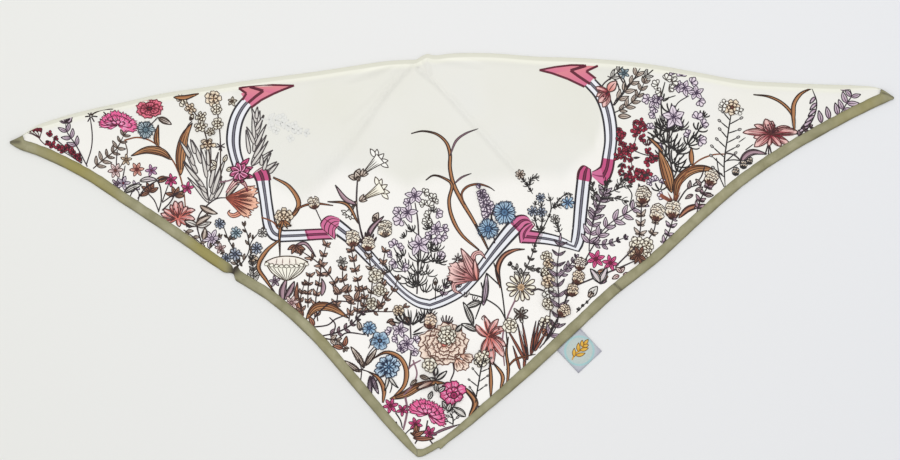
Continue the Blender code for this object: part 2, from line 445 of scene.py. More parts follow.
# Points across the roll: distance in from the folded edge
ROLL_POINTS = (0.5, 1.0, 1.6, 2.3, 3.0, 3.8, 4.6, 5.4, 6.3, 7.4, 8.6, 10.2, 12.4, 16.0)
MIDDLE_LEFT, MIDDLE_RIGHT = -60.0, 110.0  # columns are closer together between these
COLUMNS = (85, 85, 88)  # left of the middle, in it and right of it
UNDER_START = 2.4  # the under layer's flat part starts this far inside the folded edge
UNDER_HEM = 3.0  # the cloth goes this far in under the hem
FOLD_TURNS = (25, 60, 95, 130)  # degrees round the folded edge, from the under layer up
FOLD_Z, FOLD_HALF, FOLD_IN = 1.35, 0.85, 1.1  # the folded edge's middle height, half height and depth
# Along the fold the silk turns edge on. Its colour shows this as painted shade on a duller strip, then a
# painted highlight on a bright one
STRIP_D, STRIP_PAINTED_LIGHT = (0.0, 3.4, 5.0, 6.6, 9.5), (1.0, 1.0, 0.4, 0.3, 0.0)
# Behind this line the silk is bare
BARE_X, BARE_Y = zip(
    (-215, 10), (-196, -10), (-180, -60), (-160, -118), (-120, -140), (-78, -112), (-40, -112),
    (-10, -130), (20, -118), (60, -126), (105, -118), (150, -118), (182, -90), (196, -40), (214, 10),
)
BARE_REACH, BARE_FADE = 8.0, 24.0  # the printed ground goes on past the line, and fades over this much
GROUND_Y, GROUND_SHARE = (-250, -130, -50), (1.0, 0.75, 0.4)  # it is whiter towards the front


def printed_share(x, y):
    """How white the printed ground is."""
    bare = np.interp(x, BARE_X, BARE_Y, left=60, right=60)
    return ease((bare - y + BARE_REACH) / BARE_FADE) * np.interp(y, GROUND_Y, GROUND_SHARE)


def keep_values(obj, **values):
    """Keeps a number for every point of a mesh, for its material to read."""
    for key, numbers in values.items():
        attribute = obj.data.attributes.new(key, "FLOAT", "POINT")
        attribute.data.foreach_set("value", np.array(numbers, np.float32))


def cloth_row(x):
    """One line across the cloth, from the under layer's hem round the fold, and each point's share of the
    painted shade and highlight along the fold.
    """
    fold, end = float(fold_y(x)), float(cloth_y(x))
    depth = fold - (end - UNDER_HEM)
    scale = min(1.0, (fold - end) / ROLL_ROOM)
    start = UNDER_START * scale
    row = [(x, fold - (start + (depth - start) * t), UNDER_Z) for t in np.linspace(1, 0, UNDER_POINTS)]
    tint = [0.0] * len(row)
    # the points round the folded edge take the full painted shade
    for turn in np.radians(FOLD_TURNS):
        row.append((x, fold - FOLD_IN * scale * (1 - math.sin(turn)), FOLD_Z - FOLD_HALF * math.cos(turn)))
        tint.append(1.0)
    d = list(np.array(ROLL_POINTS) * scale)
    d += list(d[-1] + (depth - d[-1]) * np.linspace(0, 1, PANEL_POINTS + 1)[1:] ** PANEL_CROWDING)
    ys = fold - np.array(d)
    zs = top_z(np.full(len(d), x), ys)
    zs = np.where(ys < end, np.minimum(zs, FLAT_Z), zs) - SHELL / 2
    row += [(x, y, z) for y, z in zip(ys, zs)]
    # painted shade on the duller strip and a painted highlight on the bright one, by distance in from the
    # folded edge
    tint += [float(np.interp(inward / scale, STRIP_D, STRIP_PAINTED_LIGHT)) for inward in d]
    return row, tint


def make_cloth(material):
    """One continuous sheet: under layer, rolled fold, upper layer."""
    left, middle, right = COLUMNS
    xs = np.concatenate([
        np.linspace(CLOTH_LEFT, MIDDLE_LEFT, left, endpoint=False),
        np.linspace(MIDDLE_LEFT, MIDDLE_RIGHT, middle, endpoint=False),
        np.linspace(MIDDLE_RIGHT, CLOTH_RIGHT, right),
    ])
    xs[np.argmin(np.abs(xs))] = 0.0
    rows, painted_lights = zip(*(cloth_row(x) for x in xs))
    flat = np.array(rows).reshape(-1, 3)
    obj = new_object("folded_silk", to_world(*flat.T), grid_faces(len(xs), len(rows[0])), material)
    keep_values(obj, fold_tint=np.array(painted_lights).ravel(), printed=printed_share(flat[:, 0], flat[:, 1]))
    shell = obj.modifiers.new("thickness", "SOLIDIFY")
    shell.thickness = SHELL * MM
    shell.offset = 0
    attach(obj, "root")
    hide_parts("silk_square")
    return obj


# The hem's section: share of the way from its inner to its outer edge, share of its height
HEM_PROFILE = (
    (0.0, 0.35), (0.03, 0.7), (0.1, 0.92), (0.22, 1.0), (0.38, 0.98), (0.55, 0.96), (0.7, 0.99),
    (0.83, 0.97), (0.93, 0.82), (0.985, 0.55), (1.0, 0.3), (0.97, 0.05), (0.6, 0.0), (0.05, 0.0),
)
HEM_STEP, FINE_STEP = 1.6, 0.5  # between points along the hem, and where small shapes need more
FINE_RUNS = ((TUCK_X - 8, TUCK_X + 10), (15, 30), (196, 216))
TUCK_DEPTH, TUCK_SIDES = 5.0, (11, 2.6)  # of the tuck, and how far it reaches on each side
NICK_DEPTH, NICK_SIDES = 2.4, (1.4, 9)  # the same of the step
DENT_X, DENT_DEPTH, DENT_WIDTH = TUCK_X + 4.5, 2.4, 3.4  # the tuck pulls the inner edge in too
TUCK_FLATTENING = 0.5  # the hem is this much lower in the tuck
PEEK_REACH = 60.0  # near a corner the under layer's hem draws in over this much
APEX_GAP = 0.15  # each hem stops this far short of the middle of the front corner
THINNEST = 0.6  # the hem is never narrower than this
OUTER_WAVE, OUTER_CALM = 0.3, 12  # gathers move the outer edge this much, and less this near an end
INNER_WAVE, INNER_CALM = 0.35, 20  # and the inner edge
TOP_WAVE, SIDE_WAVE = 0.10, 0.08  # the shares of its height by which they lift it and ripple it


def pucker(x, phase):
    """Small gathers along a hem, between -1 and 1."""
    return (
        0.5 * np.sin(x / 1.9 + phase + 1.3 * np.sin(x / 11.0))
        + 0.3 * np.sin(x / 3.7 + 2 * phase)
        + 0.2 * np.sin(x / 0.93 + phase)
    )


# Where the hem has yellowed: x, half width, amount
AGED = (
    (-345, 60, 0.6), (-215, 36, 0.6), (-80, 40, 0.15), (110, 50, 0.1), (290, 40, 0.1), (455, 40, 0.3),
)

# Dark lines over the hem, painted shade in the tuck and at the two long corners, and one joint's own dark
# line: from x, y, to x, y, half width, strength
MARKS = (
    (-184.0, -213.0, -190.5, -224.5, 3.6, 1.0),
    (-183.5, -212.5, -187.5, -218.5, 6.6, 1.0),
    (200.5, -231.5, 211.5, -241.0, 1.2, 0.8),
    (-419.0, -88.0, -409.0, -87.5, 2.2, 0.7),
    (472.0, -33.5, 491.0, -42.4, 0.9, 0.6),
)


def mark_strength(x, y):
    """How dark the hem is: painted shade in the tuck and at the two long corners, and the dark line of a
    joint.
    """
    strongest = 0.0
    for x0, y0, x1, y1, width, strength in MARKS:
        run = math.hypot(x1 - x0, y1 - y0)
        t = max(0.0, min(1.0, ((x - x0) * (x1 - x0) + (y - y0) * (y1 - y0)) / run**2))
        off = math.hypot(x - x0 - t * (x1 - x0), y - y0 - t * (y1 - y0))
        strongest = max(strongest, strength * float(bump(off, width * 1.6)))
    return strongest


def lopsided(x, left, right):
    """A bump at 0 with its own width on each side."""
    return float(bump(x, left if x < 0 else right))


def hem_places(tip, apex):
    """Every x along a hem, from its tip to the front corner."""
    low, high = min(tip, apex) + 1, max(tip, apex) - 1
    xs = np.linspace(tip, apex, int(abs(tip - apex) / HEM_STEP))
    fine = np.concatenate([np.arange(start, end, FINE_STEP) for start, end in FINE_RUNS])
    xs = np.unique(np.concatenate([xs, fine[(fine > low) & (fine < high)]]))
    return xs if tip < apex else xs[::-1]


def hem_row(x, side, tip, apex, low, height, peek, phase):
    """One section round the hem. low is the height it stands on."""
    beyond = (x - (CLOTH_LEFT if side < 0 else CLOTH_RIGHT)) * side > 0
    outer = float(edge_y(x))
    inner = float(fold_y(x)) if beyond else outer + float(hem_depth(x))
    away = min(abs(x - tip), abs(x - apex))
    outer -= peek * float(ease(away / PEEK_REACH))
    outer += TUCK_DEPTH * lopsided(x - TUCK_X, *TUCK_SIDES) - NICK_DEPTH * lopsided(x - NICK_X, *NICK_SIDES)
    outer += OUTER_WAVE * float(pucker(x * 0.45, phase)) * min(1.0, away / OUTER_CALM)
    inner += DENT_DEPTH * float(bump(x - DENT_X, DENT_WIDTH))
    inner += INNER_WAVE * float(pucker(x * 0.8, phase + 2.0)) * min(1.0, away / INNER_CALM)
    inner = max(inner, outer + THINNEST)
    flattening = TUCK_FLATTENING * float(bump(x - TUCK_X, 2.4))
    tall = height * (1 + TOP_WAVE * float(pucker(x, phase))) * (1 - flattening)
    row = []
    for share, rise in HEM_PROFILE:
        gather = SIDE_WAVE * math.sin(9 * share + x / 4.5 + phase) * float(pucker(x * 0.7, share * 3))
        row.append((x, inner + (outer - inner) * share, low + tall * rise * (1 + gather)))
    return row


def make_hem(name, node, side, low, height, peek, phase, material):
    """A closed strip along one open edge of one layer. side is -1 for left and 1 for right."""
    tip = LEFT_TIP if side < 0 else RIGHT_TIP
    apex = APEX_GAP * side
    rows = [hem_row(x, side, tip, apex, low, height, peek, phase) for x in hem_places(tip, apex)]
    columns = len(HEM_PROFILE)
    faces = grid_faces(len(rows), columns, closed=True)
    faces.append(tuple(range(columns)))
    faces.append(tuple(range((len(rows) - 1) * columns, len(rows) * columns))[::-1])
    flat = np.array(rows).reshape(-1, 3)
    obj = new_object(name, to_world(*flat.T), faces, material)
    keep_values(
        obj,
        across=np.tile([share for share, _ in HEM_PROFILE], len(rows)),
        mark=[mark_strength(x, y) for x, y, _ in flat],
        aged=sum(amount * bump(flat[:, 0] - x, width) for x, width, amount in AGED),
    )
    fix_normals(obj)
    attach(obj, "root")
    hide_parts(node)
    return obj


def fix_normals(obj):
    """Turns every face outward."""
    shape = bmesh.new()
    shape.from_mesh(obj.data)
    bmesh.ops.recalc_face_normals(shape, faces=shape.faces[:])
    shape.to_mesh(obj.data)
    shape.free()
    obj.data.shade_smooth()


# ---------------------------------------------------------------- label

LABEL_Z = 0.75  # its middle height
LABEL_WALL = 0.5
LABEL_TUCK = 1.0  # it goes this far in under the hem
LABEL_POINTS = 13  # along each side
RING_SPAN = 0.03  # metres from the label's middle to the end of its ramp of colours


def label_frame():
    """Where the label leaves the hem, and its two directions."""
    reach = LABEL_WIDTH // 2
    slope = float((edge_y(LABEL_PLACE + reach) - edge_y(LABEL_PLACE - reach)) / (2 * reach))
    size = math.hypot(1, slope)
    sideways = np.array([1 / size, slope / size])
    out = np.array([sideways[1], -sideways[0]])
    clear = UNDER_PEEK * size + SEAM - LABEL_TUCK
    return np.array([LABEL_PLACE, float(edge_y(LABEL_PLACE))]) + out * clear, sideways, out


def label_z(x, y):
    """Height of the label, which is a little wavy."""
    start, sideways, out = label_frame()
    place = np.stack([np.asarray(x, float) - start[0], np.asarray(y, float) - start[1]], axis=-1)
    u, v = place @ sideways / LABEL_WIDTH, place @ out / LABEL_LENGTH
    return LABEL_Z + 0.25 * np.sin(3.0 * v + 1.0) * np.cos(2.4 * u)


def label_material(middle):
    """Pale blue-grey satin with a faint ring round its middle."""
    material, tree, shader = new_material("label", 0.35)
    vector = coordinates(tree)
    away = add(tree, "ShaderNodeVectorMath", operation="DISTANCE")
    tree.links.new(vector, away.inputs[0])
    away.inputs[1].default_value = tuple(to_world(middle[0], middle[1], LABEL_Z))
    reach = add(tree, "ShaderNodeMapRange")
    reach.inputs["From Max"].default_value = RING_SPAN
    tree.links.new(away.outputs["Value"], reach.inputs["Value"])
    ring = ramp(
        tree,
        reach.outputs["Result"],
        ((0.0, srgb(198, 209, 202)), (0.44, srgb(192, 205, 202)), (0.475, srgb(164, 205, 207)),
         (0.51, srgb(170, 206, 208)), (0.54, srgb(190, 196, 203)), (0.78, srgb(180, 178, 192))),
    )
    weave = noise(tree, vector, 700.0, 2.0)
    threads = ramp(tree, weave.outputs["Fac"], ((0.3, (0.93, 0.93, 0.93)), (0.7, (1.03, 1.03, 1.03))))
    mixed = add(tree, "ShaderNodeMix", data_type="RGBA", blend_type="MULTIPLY")
    mixed.inputs["Factor"].default_value = 1
    tree.links.new(ring.outputs["Color"], mixed.inputs["A"])
    tree.links.new(threads.outputs["Color"], mixed.inputs["B"])
    tree.links.new(mixed.outputs["Result"], shader.inputs["Base Color"])
    return material


def make_label():
    start, sideways, out = label_frame()
    material = label_material(start + out * LABEL_LENGTH * 0.5)
    last = LABEL_POINTS - 1
    rows = []
    for i in range(LABEL_POINTS):
        for j in range(LABEL_POINTS):
            place = start + sideways * (j / last - 0.5) * LABEL_WIDTH + out * i / last * LABEL_LENGTH
            rows.append((*place, float(label_z(*place))))
    flat = np.array(rows)
    obj = new_object("label_flap", to_world(*flat.T), grid_faces(LABEL_POINTS, LABEL_POINTS), material)
    shell = obj.modifiers.new("thickness", "SOLIDIFY")
    shell.thickness = LABEL_WALL * MM
    shell.offset = 0
    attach(obj, "root")
    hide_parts("label")
    return obj


# ---------------------------------------------------------------- the printing kit

LINE = 1.22  # width of a drawn line, in millimetres
LIFT = 0.10  # the print's first level above the cloth
LEVEL = 0.012  # from one level of ink to the next
CELL = 1.5  # side of a square in which ink is counted, so that later ink lies higher
COVER_LEFT, COVER_FRONT, COVER_SIZE = -440, -425, (640, 300)  # where those squares begin, and how many
LARGE_FACE = 3.0  # a triangle wider than this covers more than one square
TRIM = 1.2  # the print goes this far in under the hem
# The print begins this far in from the folded edge: x, distance
START_X, START_D = (-420, -210, -150, 150, 250, 492), (3.4, 3.8, 7.0, 6.6, 5.2, 5.0)

# pale, deep and outline colour of each tint
TINTS = {
    "magenta": ((240, 104, 160), (200, 48, 116), (88, 14, 50)),
    "rose": ((246, 128, 150), (220, 68, 106), (108, 26, 44)),
    "pink": ((246, 208, 202), (210, 126, 128), (84, 36, 36)),
    "blush": ((250, 238, 230), (230, 180, 182), (88, 56, 56)),
    "salmon": ((246, 194, 166), (214, 108, 86), (96, 40, 28)),
    "coral": ((246, 202, 184), (220, 116, 104), (92, 36, 32)),
    "peach": ((254, 238, 222), (240, 178, 150), (106, 64, 50)),
    "cream": ((253, 250, 236), (242, 230, 202), (66, 46, 28)),
    "white": ((253, 252, 246), (238, 236, 226), (54, 42, 36)),
    "tan": ((250, 238, 216), (216, 176, 132), (66, 40, 22)),
    "rust": ((204, 144, 112), (142, 78, 56), (58, 26, 18)),
    "thyme": ((206, 172, 152), (146, 104, 88), (54, 30, 24)),
    "brown": ((210, 152, 102), (128, 72, 38), (44, 20, 8)),
    "blue": ((184, 210, 228), (102, 150, 194), (22, 40, 70)),
    "teal": ((200, 214, 220), (130, 160, 174), (34, 50, 62)),
    "navy": ((190, 198, 210), (112, 124, 152), (20, 24, 38)),
    "lilac": ((245, 236, 241), (208, 186, 208), (62, 44, 70)),
    "violet": ((236, 200, 222), (184, 112, 172), (80, 38, 76)),
    "mauve": ((230, 214, 224), (172, 140, 164), (46, 30, 44)),
    "plum": ((198, 168, 178), (134, 98, 112), (42, 24, 30)),
    "grey": ((240, 238, 232), (206, 200, 194), (40, 32, 30)),
    "greybrown": ((228, 216, 204), (172, 148, 132), (54, 36, 26)),
    "slate": ((140, 132, 136), (60, 50, 54), (26, 20, 20)),
    "crimson": ((186, 36, 68), (134, 14, 42), (58, 6, 22)),
    "gold": ((240, 196, 90), (214, 160, 40), (117, 78, 16)),
    "ghost": ((236, 236, 230), (229, 229, 225), (228, 228, 224)),
}


# Colours that are not a tint's own
STREAK = (252, 170, 208)
ROSEMARY_LINE = (66, 58, 60)
SKY = (206, 228, 244)
POD_TIP = (236, 232, 228)
HOT_PINK = (198, 84, 132)


def pale(tint):
    return TINTS[tint][0]


def deep(tint):
    return TINTS[tint][1]


def dark(tint):
    return TINTS[tint][2]


# How wide a leaf or petal is along its length, from its base at 0 to its tip at 1


def leaf_shape(t):
    return np.sin(np.pi * np.power(t, 0.8)) ** 0.9


def lance_shape(t):
    return np.sin(np.pi * np.power(t, 0.6)) ** 0.8 * (1 - 0.25 * t)


def petal_shape(t):
    return np.clip(np.sin(np.pi * np.power(t, 1.7)) ** 0.6 * (0.5 + 0.5 * t) * 1.25, 0.12 * (1 - t), 1)


def pointed_shape(t):
    return np.sin(np.pi * np.power(t, 1.05)) ** 0.75


def round_shape(t):
    return np.sqrt(np.clip(1 - (2 * t - 1) ** 2, 0, 1))


def grass_shape(t):
    return np.clip(np.interp(t, (0, 0.12, 0.35, 0.7, 1), (0.25, 0.6, 1, 0.75, 0)), 0, 1)


def saw_shape(t):
    return leaf_shape(t) * (1 - 0.28 * np.mod(t * 7, 1.0))


def smooth_path(points, step=2.2):
    """A smooth line through points given in order, sampled at about one step."""
    p = np.array(points, float)
    if len(p) == 2:
        n = max(2, int(np.hypot(*(p[1] - p[0])) / (step * 1.5)) + 2)
        return p[0] + (p[1] - p[0]) * np.linspace(0, 1, n)[:, None]
    ext = np.vstack([2 * p[0] - p[1], p, 2 * p[-1] - p[-2]])
    out = []
    for a, b, c, d in zip(ext, ext[1:], ext[2:], ext[3:]):
        n = max(2, int(np.hypot(*(c - b)) / step) + 1)
        t = np.linspace(0, 1, n, endpoint=False)[:, None]
        out.append(
            0.5 * (2 * b + (c - a) * t + (2 * a - 5 * b + 4 * c - d) * t**2
                   + (3 * b - a - 3 * c + d) * t**3)
        )
    return np.vstack([*out, p[-1:]])


def normals_of(line):
    """The direction to the left of a line, at each of its points."""
    tangent = np.gradient(line, axis=0)
    size = np.maximum(np.hypot(tangent[:, 0], tangent[:, 1]), 1e-9)[:, None]
    tangent = tangent / size
    return np.stack([-tangent[:, 1], tangent[:, 0]], axis=1)


def strip_faces(rows, columns):
    """Triangles between rows of points."""
    r = np.arange(rows - 1)[:, None] * columns
    c = np.arange(columns - 1)[None, :]
    a = (r + c).ravel()
    return np.vstack([
        np.stack([a, a + 1, a + columns + 1], axis=1),
        np.stack([a, a + columns + 1, a + columns], axis=1),
    ])


# Points spread over a triangle, as shares of its corners
MIDDLE_WEIGHTS = (1 / 3, 1 / 3, 1 / 3)
SPREAD_WEIGHTS = tuple(
    (i / 16, j / 16, (16 - i - j) / 16) for i in range(17) for j in range(17 - i)
)


class Press:
    """Everything printed, as flat shapes in millimetres in the order they were drawn."""

    def __init__(self):
        self.cover = np.zeros(COVER_SIZE, int)
        self.shapes = {}
        self.inks = {}
        self.zone = ""
        self.held = None

    def ink(self, a, b):
        """The number of the ink that goes from one colour to another."""
        return self.inks.setdefault((a, b), len(self.inks))

    def cells(self, points):
        i = ((points[:, 0] - COVER_LEFT) / CELL).astype(int) + 1
        j = ((points[:, 1] - COVER_FRONT) / CELL).astype(int) + 1
        return np.clip(i, 1, COVER_SIZE[0] - 2), np.clip(j, 1, COVER_SIZE[1] - 2)

    def shape(self, points, faces, t, s, ink, line=False):
        """t and s are each point's place along and across its shape, between 0 and 1."""
        record = (points, faces, t, s, np.full(len(points), ink))
        if self.held is not None:
            self.held[line].append(record)
        else:
            self.lay([record])

    def hold(self):
        """What is drawn until release lies on one level, with its lines above its fills."""
        self.held = ([], [])

    def release(self):
        fills, lines = self.held
        self.held = None
        for group in (fills, lines):
            if group:
                self.lay(group)

    def lay(self, group):
        """Lays shapes over all the ink that is already there."""
        start, parts, faces = 0, [], []
        for points, f, t, s, ink in group:
            parts.append((points, t, s, ink))
            faces.append(f + start)
            start += len(points)
        points, t, s, ink = (np.concatenate(c) for c in zip(*parts))
        faces = np.concatenate(faces)
        i, j = self.cells(points)
        around = [self.cover[i + a, j + b] for a in (-1, 0, 1) for b in (-1, 0, 1)]
        level = np.max(around, axis=0) + 1
        corners, high = points[faces], level[faces].max(axis=1)
        reach = np.ptp(corners, axis=1).max(axis=1)
        middle = np.einsum("fkc,k->fc", corners, MIDDLE_WEIGHTS)
        np.maximum.at(self.cover, self.cells(middle), high)
        large = reach > LARGE_FACE
        for weights in SPREAD_WEIGHTS if large.any() else ():
            spot = np.einsum("fkc,k->fc", corners[large], weights)
            np.maximum.at(self.cover, self.cells(spot), high[large])
        np.maximum.at(self.cover, (i, j), level)
        self.shapes.setdefault(self.zone, []).append((points, faces, t, s, ink, level))


class Pen:
    """Draws in its own place, turn and scale. Lines keep their width whatever the scale."""

    def __init__(self, press, matrix=None, origin=(0.0, 0.0)):
        self.press = press
        self.m = np.eye(2) if matrix is None else matrix
        self.o = np.array(origin, float)

    def at(self, x, y, turn=0.0, sx=1.0, sy=None):
        """A pen moved, turned and scaled within this one's place."""
        a = math.radians(turn)
        spin = np.array([[math.cos(a), -math.sin(a)], [math.sin(a), math.cos(a)]])
        m = self.m @ spin @ np.diag([sx, sx if sy is None else sy])
        return Pen(self.press, m, self.o + self.m @ np.array([x, y], float))

    def world(self, points):
        return np.asarray(points, float) @ self.m.T + self.o

    def thread(self, line, colour, width=LINE, ends=(0.5, 0.5)):
        """A line already in the world."""
        n = len(line)
        if n < 2:
            return
        t = np.linspace(0, 1, n)
        half = width / 2 * np.interp(t, (0, 0.2, 0.8, 1), (ends[0], 1, 1, ends[1]))[:, None]
        side = normals_of(line) * half
        points = np.stack([line + side, line - side], axis=1).reshape(-1, 2)
        ink = self.press.ink(colour, colour)
        self.press.shape(points, strip_faces(n, 2), np.repeat(t, 2), np.tile([0.0, 1.0], n), ink, True)

    def stroke(self, points, colour, width=LINE, ends=(0.5, 0.5)):
        """A smooth line through a few points. ends are its shares of the width at each end."""
        self.thread(self.world(smooth_path(points)), colour, width, ends)

    def leaf(self, spine, width, shape, fill, line=None, veins=0, vein=None, lw=LINE, cross=False):
        """A leaf, petal or blade along a line. fill is (colour at the base, colour at the tip)."""
        spine = np.asarray(spine, float)
        n = len(spine)
        t = np.linspace(0, 1, n)
        half = (shape(t) * width / 2)[:, None]
        side = normals_of(spine) * half
        rows = [self.world(spine + side * f) for f in (1, 0, -1)]
        points = np.stack(rows, axis=1).reshape(-1, 2)
        if fill:
            ink = self.press.ink(*fill)
            along, across = np.repeat(t, 3), np.tile([0.0, 0.5, 1.0], n)
            if cross:
                along, across = across, along
            self.press.shape(points, strip_faces(n, 3), along, across, ink)
        if line:
            outline = np.vstack([rows[0], rows[2][::-1]])
            self.thread(outline, line, lw, (0.8, 0.8))
        if veins:
            places = (0.0,) if veins == 1 else np.linspace(-0.6, 0.6, veins)
            lo, hi = max(1, n // 10), max(3, int(n * 0.85))
            for f in places:
                self.thread(self.world((spine + side * f)[lo:hi]), vein or line, lw * 0.7, (1, 0.2))

    def blade(self, base, angle, length, width, bend, shape, fill, line=None, veins=0, vein=None,
              lw=LINE, n=None):
        """A leaf that leaves its base at an angle and bends by so many degrees on its way."""
        scale = math.sqrt(abs(np.linalg.det(self.m)))
        n = n or int(np.clip(length * scale / 1.8 + 4, 6, 22))
        turn = np.radians(angle + bend * np.linspace(0, 1, n - 1))
        step = length / (n - 1)
        spine = np.vstack([[0, 0], np.cumsum(np.stack([np.cos(turn), np.sin(turn)], 1) * step, axis=0)])
        self.leaf(spine + np.asarray(base, float), width, shape, fill, line, veins, vein, lw)

    def petal(self, base, angle, length, width, bend, tint, veins=0, shape=leaf_shape, tip=None,
              line=None, **more):
        """A blade in one tint: deep at its base, pale at its tip, with a dark line round it."""
        fill = (deep(tint), pale(tip or tint))
        self.blade(base, angle, length, width, bend, shape, fill, dark(line or tint), veins, **more)

    def fan(self, base, angle, spread, length, fill, line, frill=0.07, teeth=4, veins=3, neck=0.12,
            phase=0.0, lw=LINE, vein=None):
        """A petal that widens from its base to a frilled edge."""
        n = max(7, teeth * 2 + 3)
        u = np.linspace(-1, 1, n)
        a = np.radians(angle + u * spread / 2)
        ray = np.stack([np.cos(a), np.sin(a)], axis=1)
        reach = length * (1 - 0.22 * np.abs(u) ** 3) * (1 + frill * np.sin(teeth * np.pi * u + phase))
        base = np.asarray(base, float)
        rows = [self.world(base + ray * (reach * f)[:, None]) for f in (neck, 0.6, 1.0)]
        points = np.concatenate(rows)
        faces = strip_faces(3, n)
        t = np.repeat([0.0, 0.55, 1.0], n)
        self.press.shape(points, faces, t, np.tile((u + 1) / 2, 3), self.press.ink(*fill))
        if line:
            self.thread(np.vstack([rows[0][:1], rows[2], rows[0][-1:]]), line, lw, (0.7, 0.7))
            for f in np.linspace(-0.55, 0.55, veins) if veins > 1 else (0.0,) * veins:
                k = int(round((f + 1) / 2 * (n - 1)))
                start = rows[0][k] * 0.6 + rows[2][k] * 0.4
                end = rows[2][k] * 0.85 + rows[0][k] * 0.15
                self.thread(np.linspace(start, end, 3), vein or line, lw * (0.75 if vein else 0.6),
                            (1, 0.2))

    def disc(self, x, y, radius, fill, line=None, lw=LINE, n=10):
        """A round spot. fill is (colour at the middle, colour at the edge)."""
        a = np.linspace(0, 2 * np.pi, n + 1)
        ring = self.world(np.stack([x + radius * np.cos(a), y + radius * np.sin(a)], axis=1))
        middle = self.world([[x, y]])
        points = np.vstack([np.repeat(middle, n + 1, axis=0), ring])
        t = np.repeat([0.0, 1.0], n + 1)
        s = np.tile(np.linspace(0, 1, n + 1), 2)
        faces = np.stack([np.arange(n), np.arange(n) + n + 1, np.arange(n) + n + 2], axis=1)
        self.press.shape(points, faces, t, s, self.press.ink(*fill))
        if line:
            self.thread(ring, line, lw, (1, 1))


def polar(reach, angle):
    """The point at a distance and an angle in radians from the middle."""
    return reach * math.cos(angle), reach * math.sin(angle)


def along(path, share):
    """Point and heading, in degrees, at a share of the way along a path."""
    k = min(len(path) - 2, int(share * (len(path) - 1)))
    f = share * (len(path) - 1) - k
    d = path[k + 1] - path[k]
    return path[k] + d * f, math.degrees(math.atan2(d[1], d[0]))


# ---------------------------------------------------------------- plants
# Each takes a pen already in place, a size in millimetres, a tint and a random source.


def sprig(pen, path, tint, rng, count=6, leaf=7.0, width=2.6, spread=45, shape=leaf_shape, stem=None,
          start=0.15, taper=0.5, both=True):
    """A stem with leaves, in pairs or turn about, and one at its tip."""
    line = smooth_path(path)
    pen.press.hold()
    pen.stroke(path, dark(stem or tint), LINE, (1, 0.5))
    for i in range(count):
        share = start + (0.97 - start) * i / max(1, count - 1)
        (x, y), heading = along(line, share)
        size = leaf * (1 - taper * share) * rng.uniform(0.85, 1.15)
        for side in (-1, 1) if both else ((-1) ** i,):
            turn = heading + side * (spread + rng.uniform(-8, 8))
            pen.petal((x, y), turn, size, width * size / leaf, -side * rng.uniform(5, 25), tint, 1,
                      shape=shape, lw=LINE * 0.85)
    (x, y), heading = along(line, 1.0)
    pen.petal((x, y), heading, leaf * (1 - taper) * 0.9, width * 0.6, 0, tint, shape=shape, lw=LINE * 0.85)
    pen.press.release()


def grass(pen, path, width, tint="brown", shape=grass_shape, veins=2):
    """A long arching blade. A slim one has one colour, and only a wide one has room for veins."""
    slim = width < 2.5
    room = 0 if width < 4.8 else 2 if width < 7 else 3
    fill = (deep(tint), deep(tint) if slim else pale(tint))
    pen.leaf(smooth_path(path, 3.0), width, shape, fill, dark(tint), min(veins, room),
             lw=LINE * (0.6 if slim else 1.0), cross=not slim)


def stalk(pen, path, tint="brown", width=0.95):
    """A bare stem."""
    pen.stroke(path, dark(tint) if width < 1.25 else deep(tint), width * 1.25, (1, 0.7))


def heart_disc(pen, r, fill, line, dots=7):
    """The round middle of a flower, with a ring of dots on it."""
    pen.disc(0, 0, r, fill, line)
    for i in range(dots):
        pen.disc(*polar(r * 0.6, 2 * math.pi * i / dots), r * 0.14, (line, line), None, n=5)


def daisy(pen, r, tint, rng, count=14, heart="tan"):
    """Narrow petals round a spoked middle."""
    inner = 0.18
    for i in range(count):
        a = 360 * i / count + rng.uniform(-4, 4)
        pen.petal(polar(inner * r, math.radians(a)), a, r * (1 - inner) * rng.uniform(0.92, 1.06),
                  0.24 * r, rng.uniform(-12, 12), tint, shape=petal_shape, lw=LINE * 0.9)
    for a in np.radians(range(0, 360, 36)):
        pen.stroke([polar(r * 0.04, a), polar(r * 0.26, a)], deep(heart), 1.2)
    pen.disc(0, 0, r * 0.1, (dark(heart), deep(heart)), dark(heart), 0.5, n=7)


def cornflower(pen, r, tint, rng, count=11):
    """Toothed fans round a dark middle. One under 8 mm is drawn with fewer lines."""
    small = r < 8
    for i in range(count):
        a = 360 * i / count + rng.uniform(-5, 5)
        pen.fan((0, 0), a, 34, r * rng.uniform(0.88, 1.06), (deep(tint), pale(tint)), dark(tint), 0.13, 3,
                0 if small else 1, 0.2, phase=rng.uniform(0, 3), lw=LINE * (0.7 if small else 0.9))
    pen.disc(0, 0, r * (0.22 if small else 0.3), (dark(tint), deep(tint)), dark(tint), LINE * 0.7)
    spokes = 5 if small else 11
    for i in range(spokes):
        a = 2 * math.pi * i / spokes
        pen.stroke([polar(r * 0.2, a), polar(r * 0.52, a)], dark(tint), 0.6 if small else 0.9)


def star(pen, r, tint, rng, count=5, heart=None):
    """A small flower of pointed petals."""
    pen.press.hold()
    turn = rng.uniform(0, 72)
    for i in range(count):
        pen.petal((0, 0), turn + 360 * i / count, r, 0.42 * r, rng.uniform(-12, 12), tint, 1,
                  shape=pointed_shape, lw=LINE * 0.8)
    pen.press.release()
    pen.disc(0, 0, r * 0.16, (dark(heart or tint), deep(heart or tint)), dark(tint), 0.5, n=7)


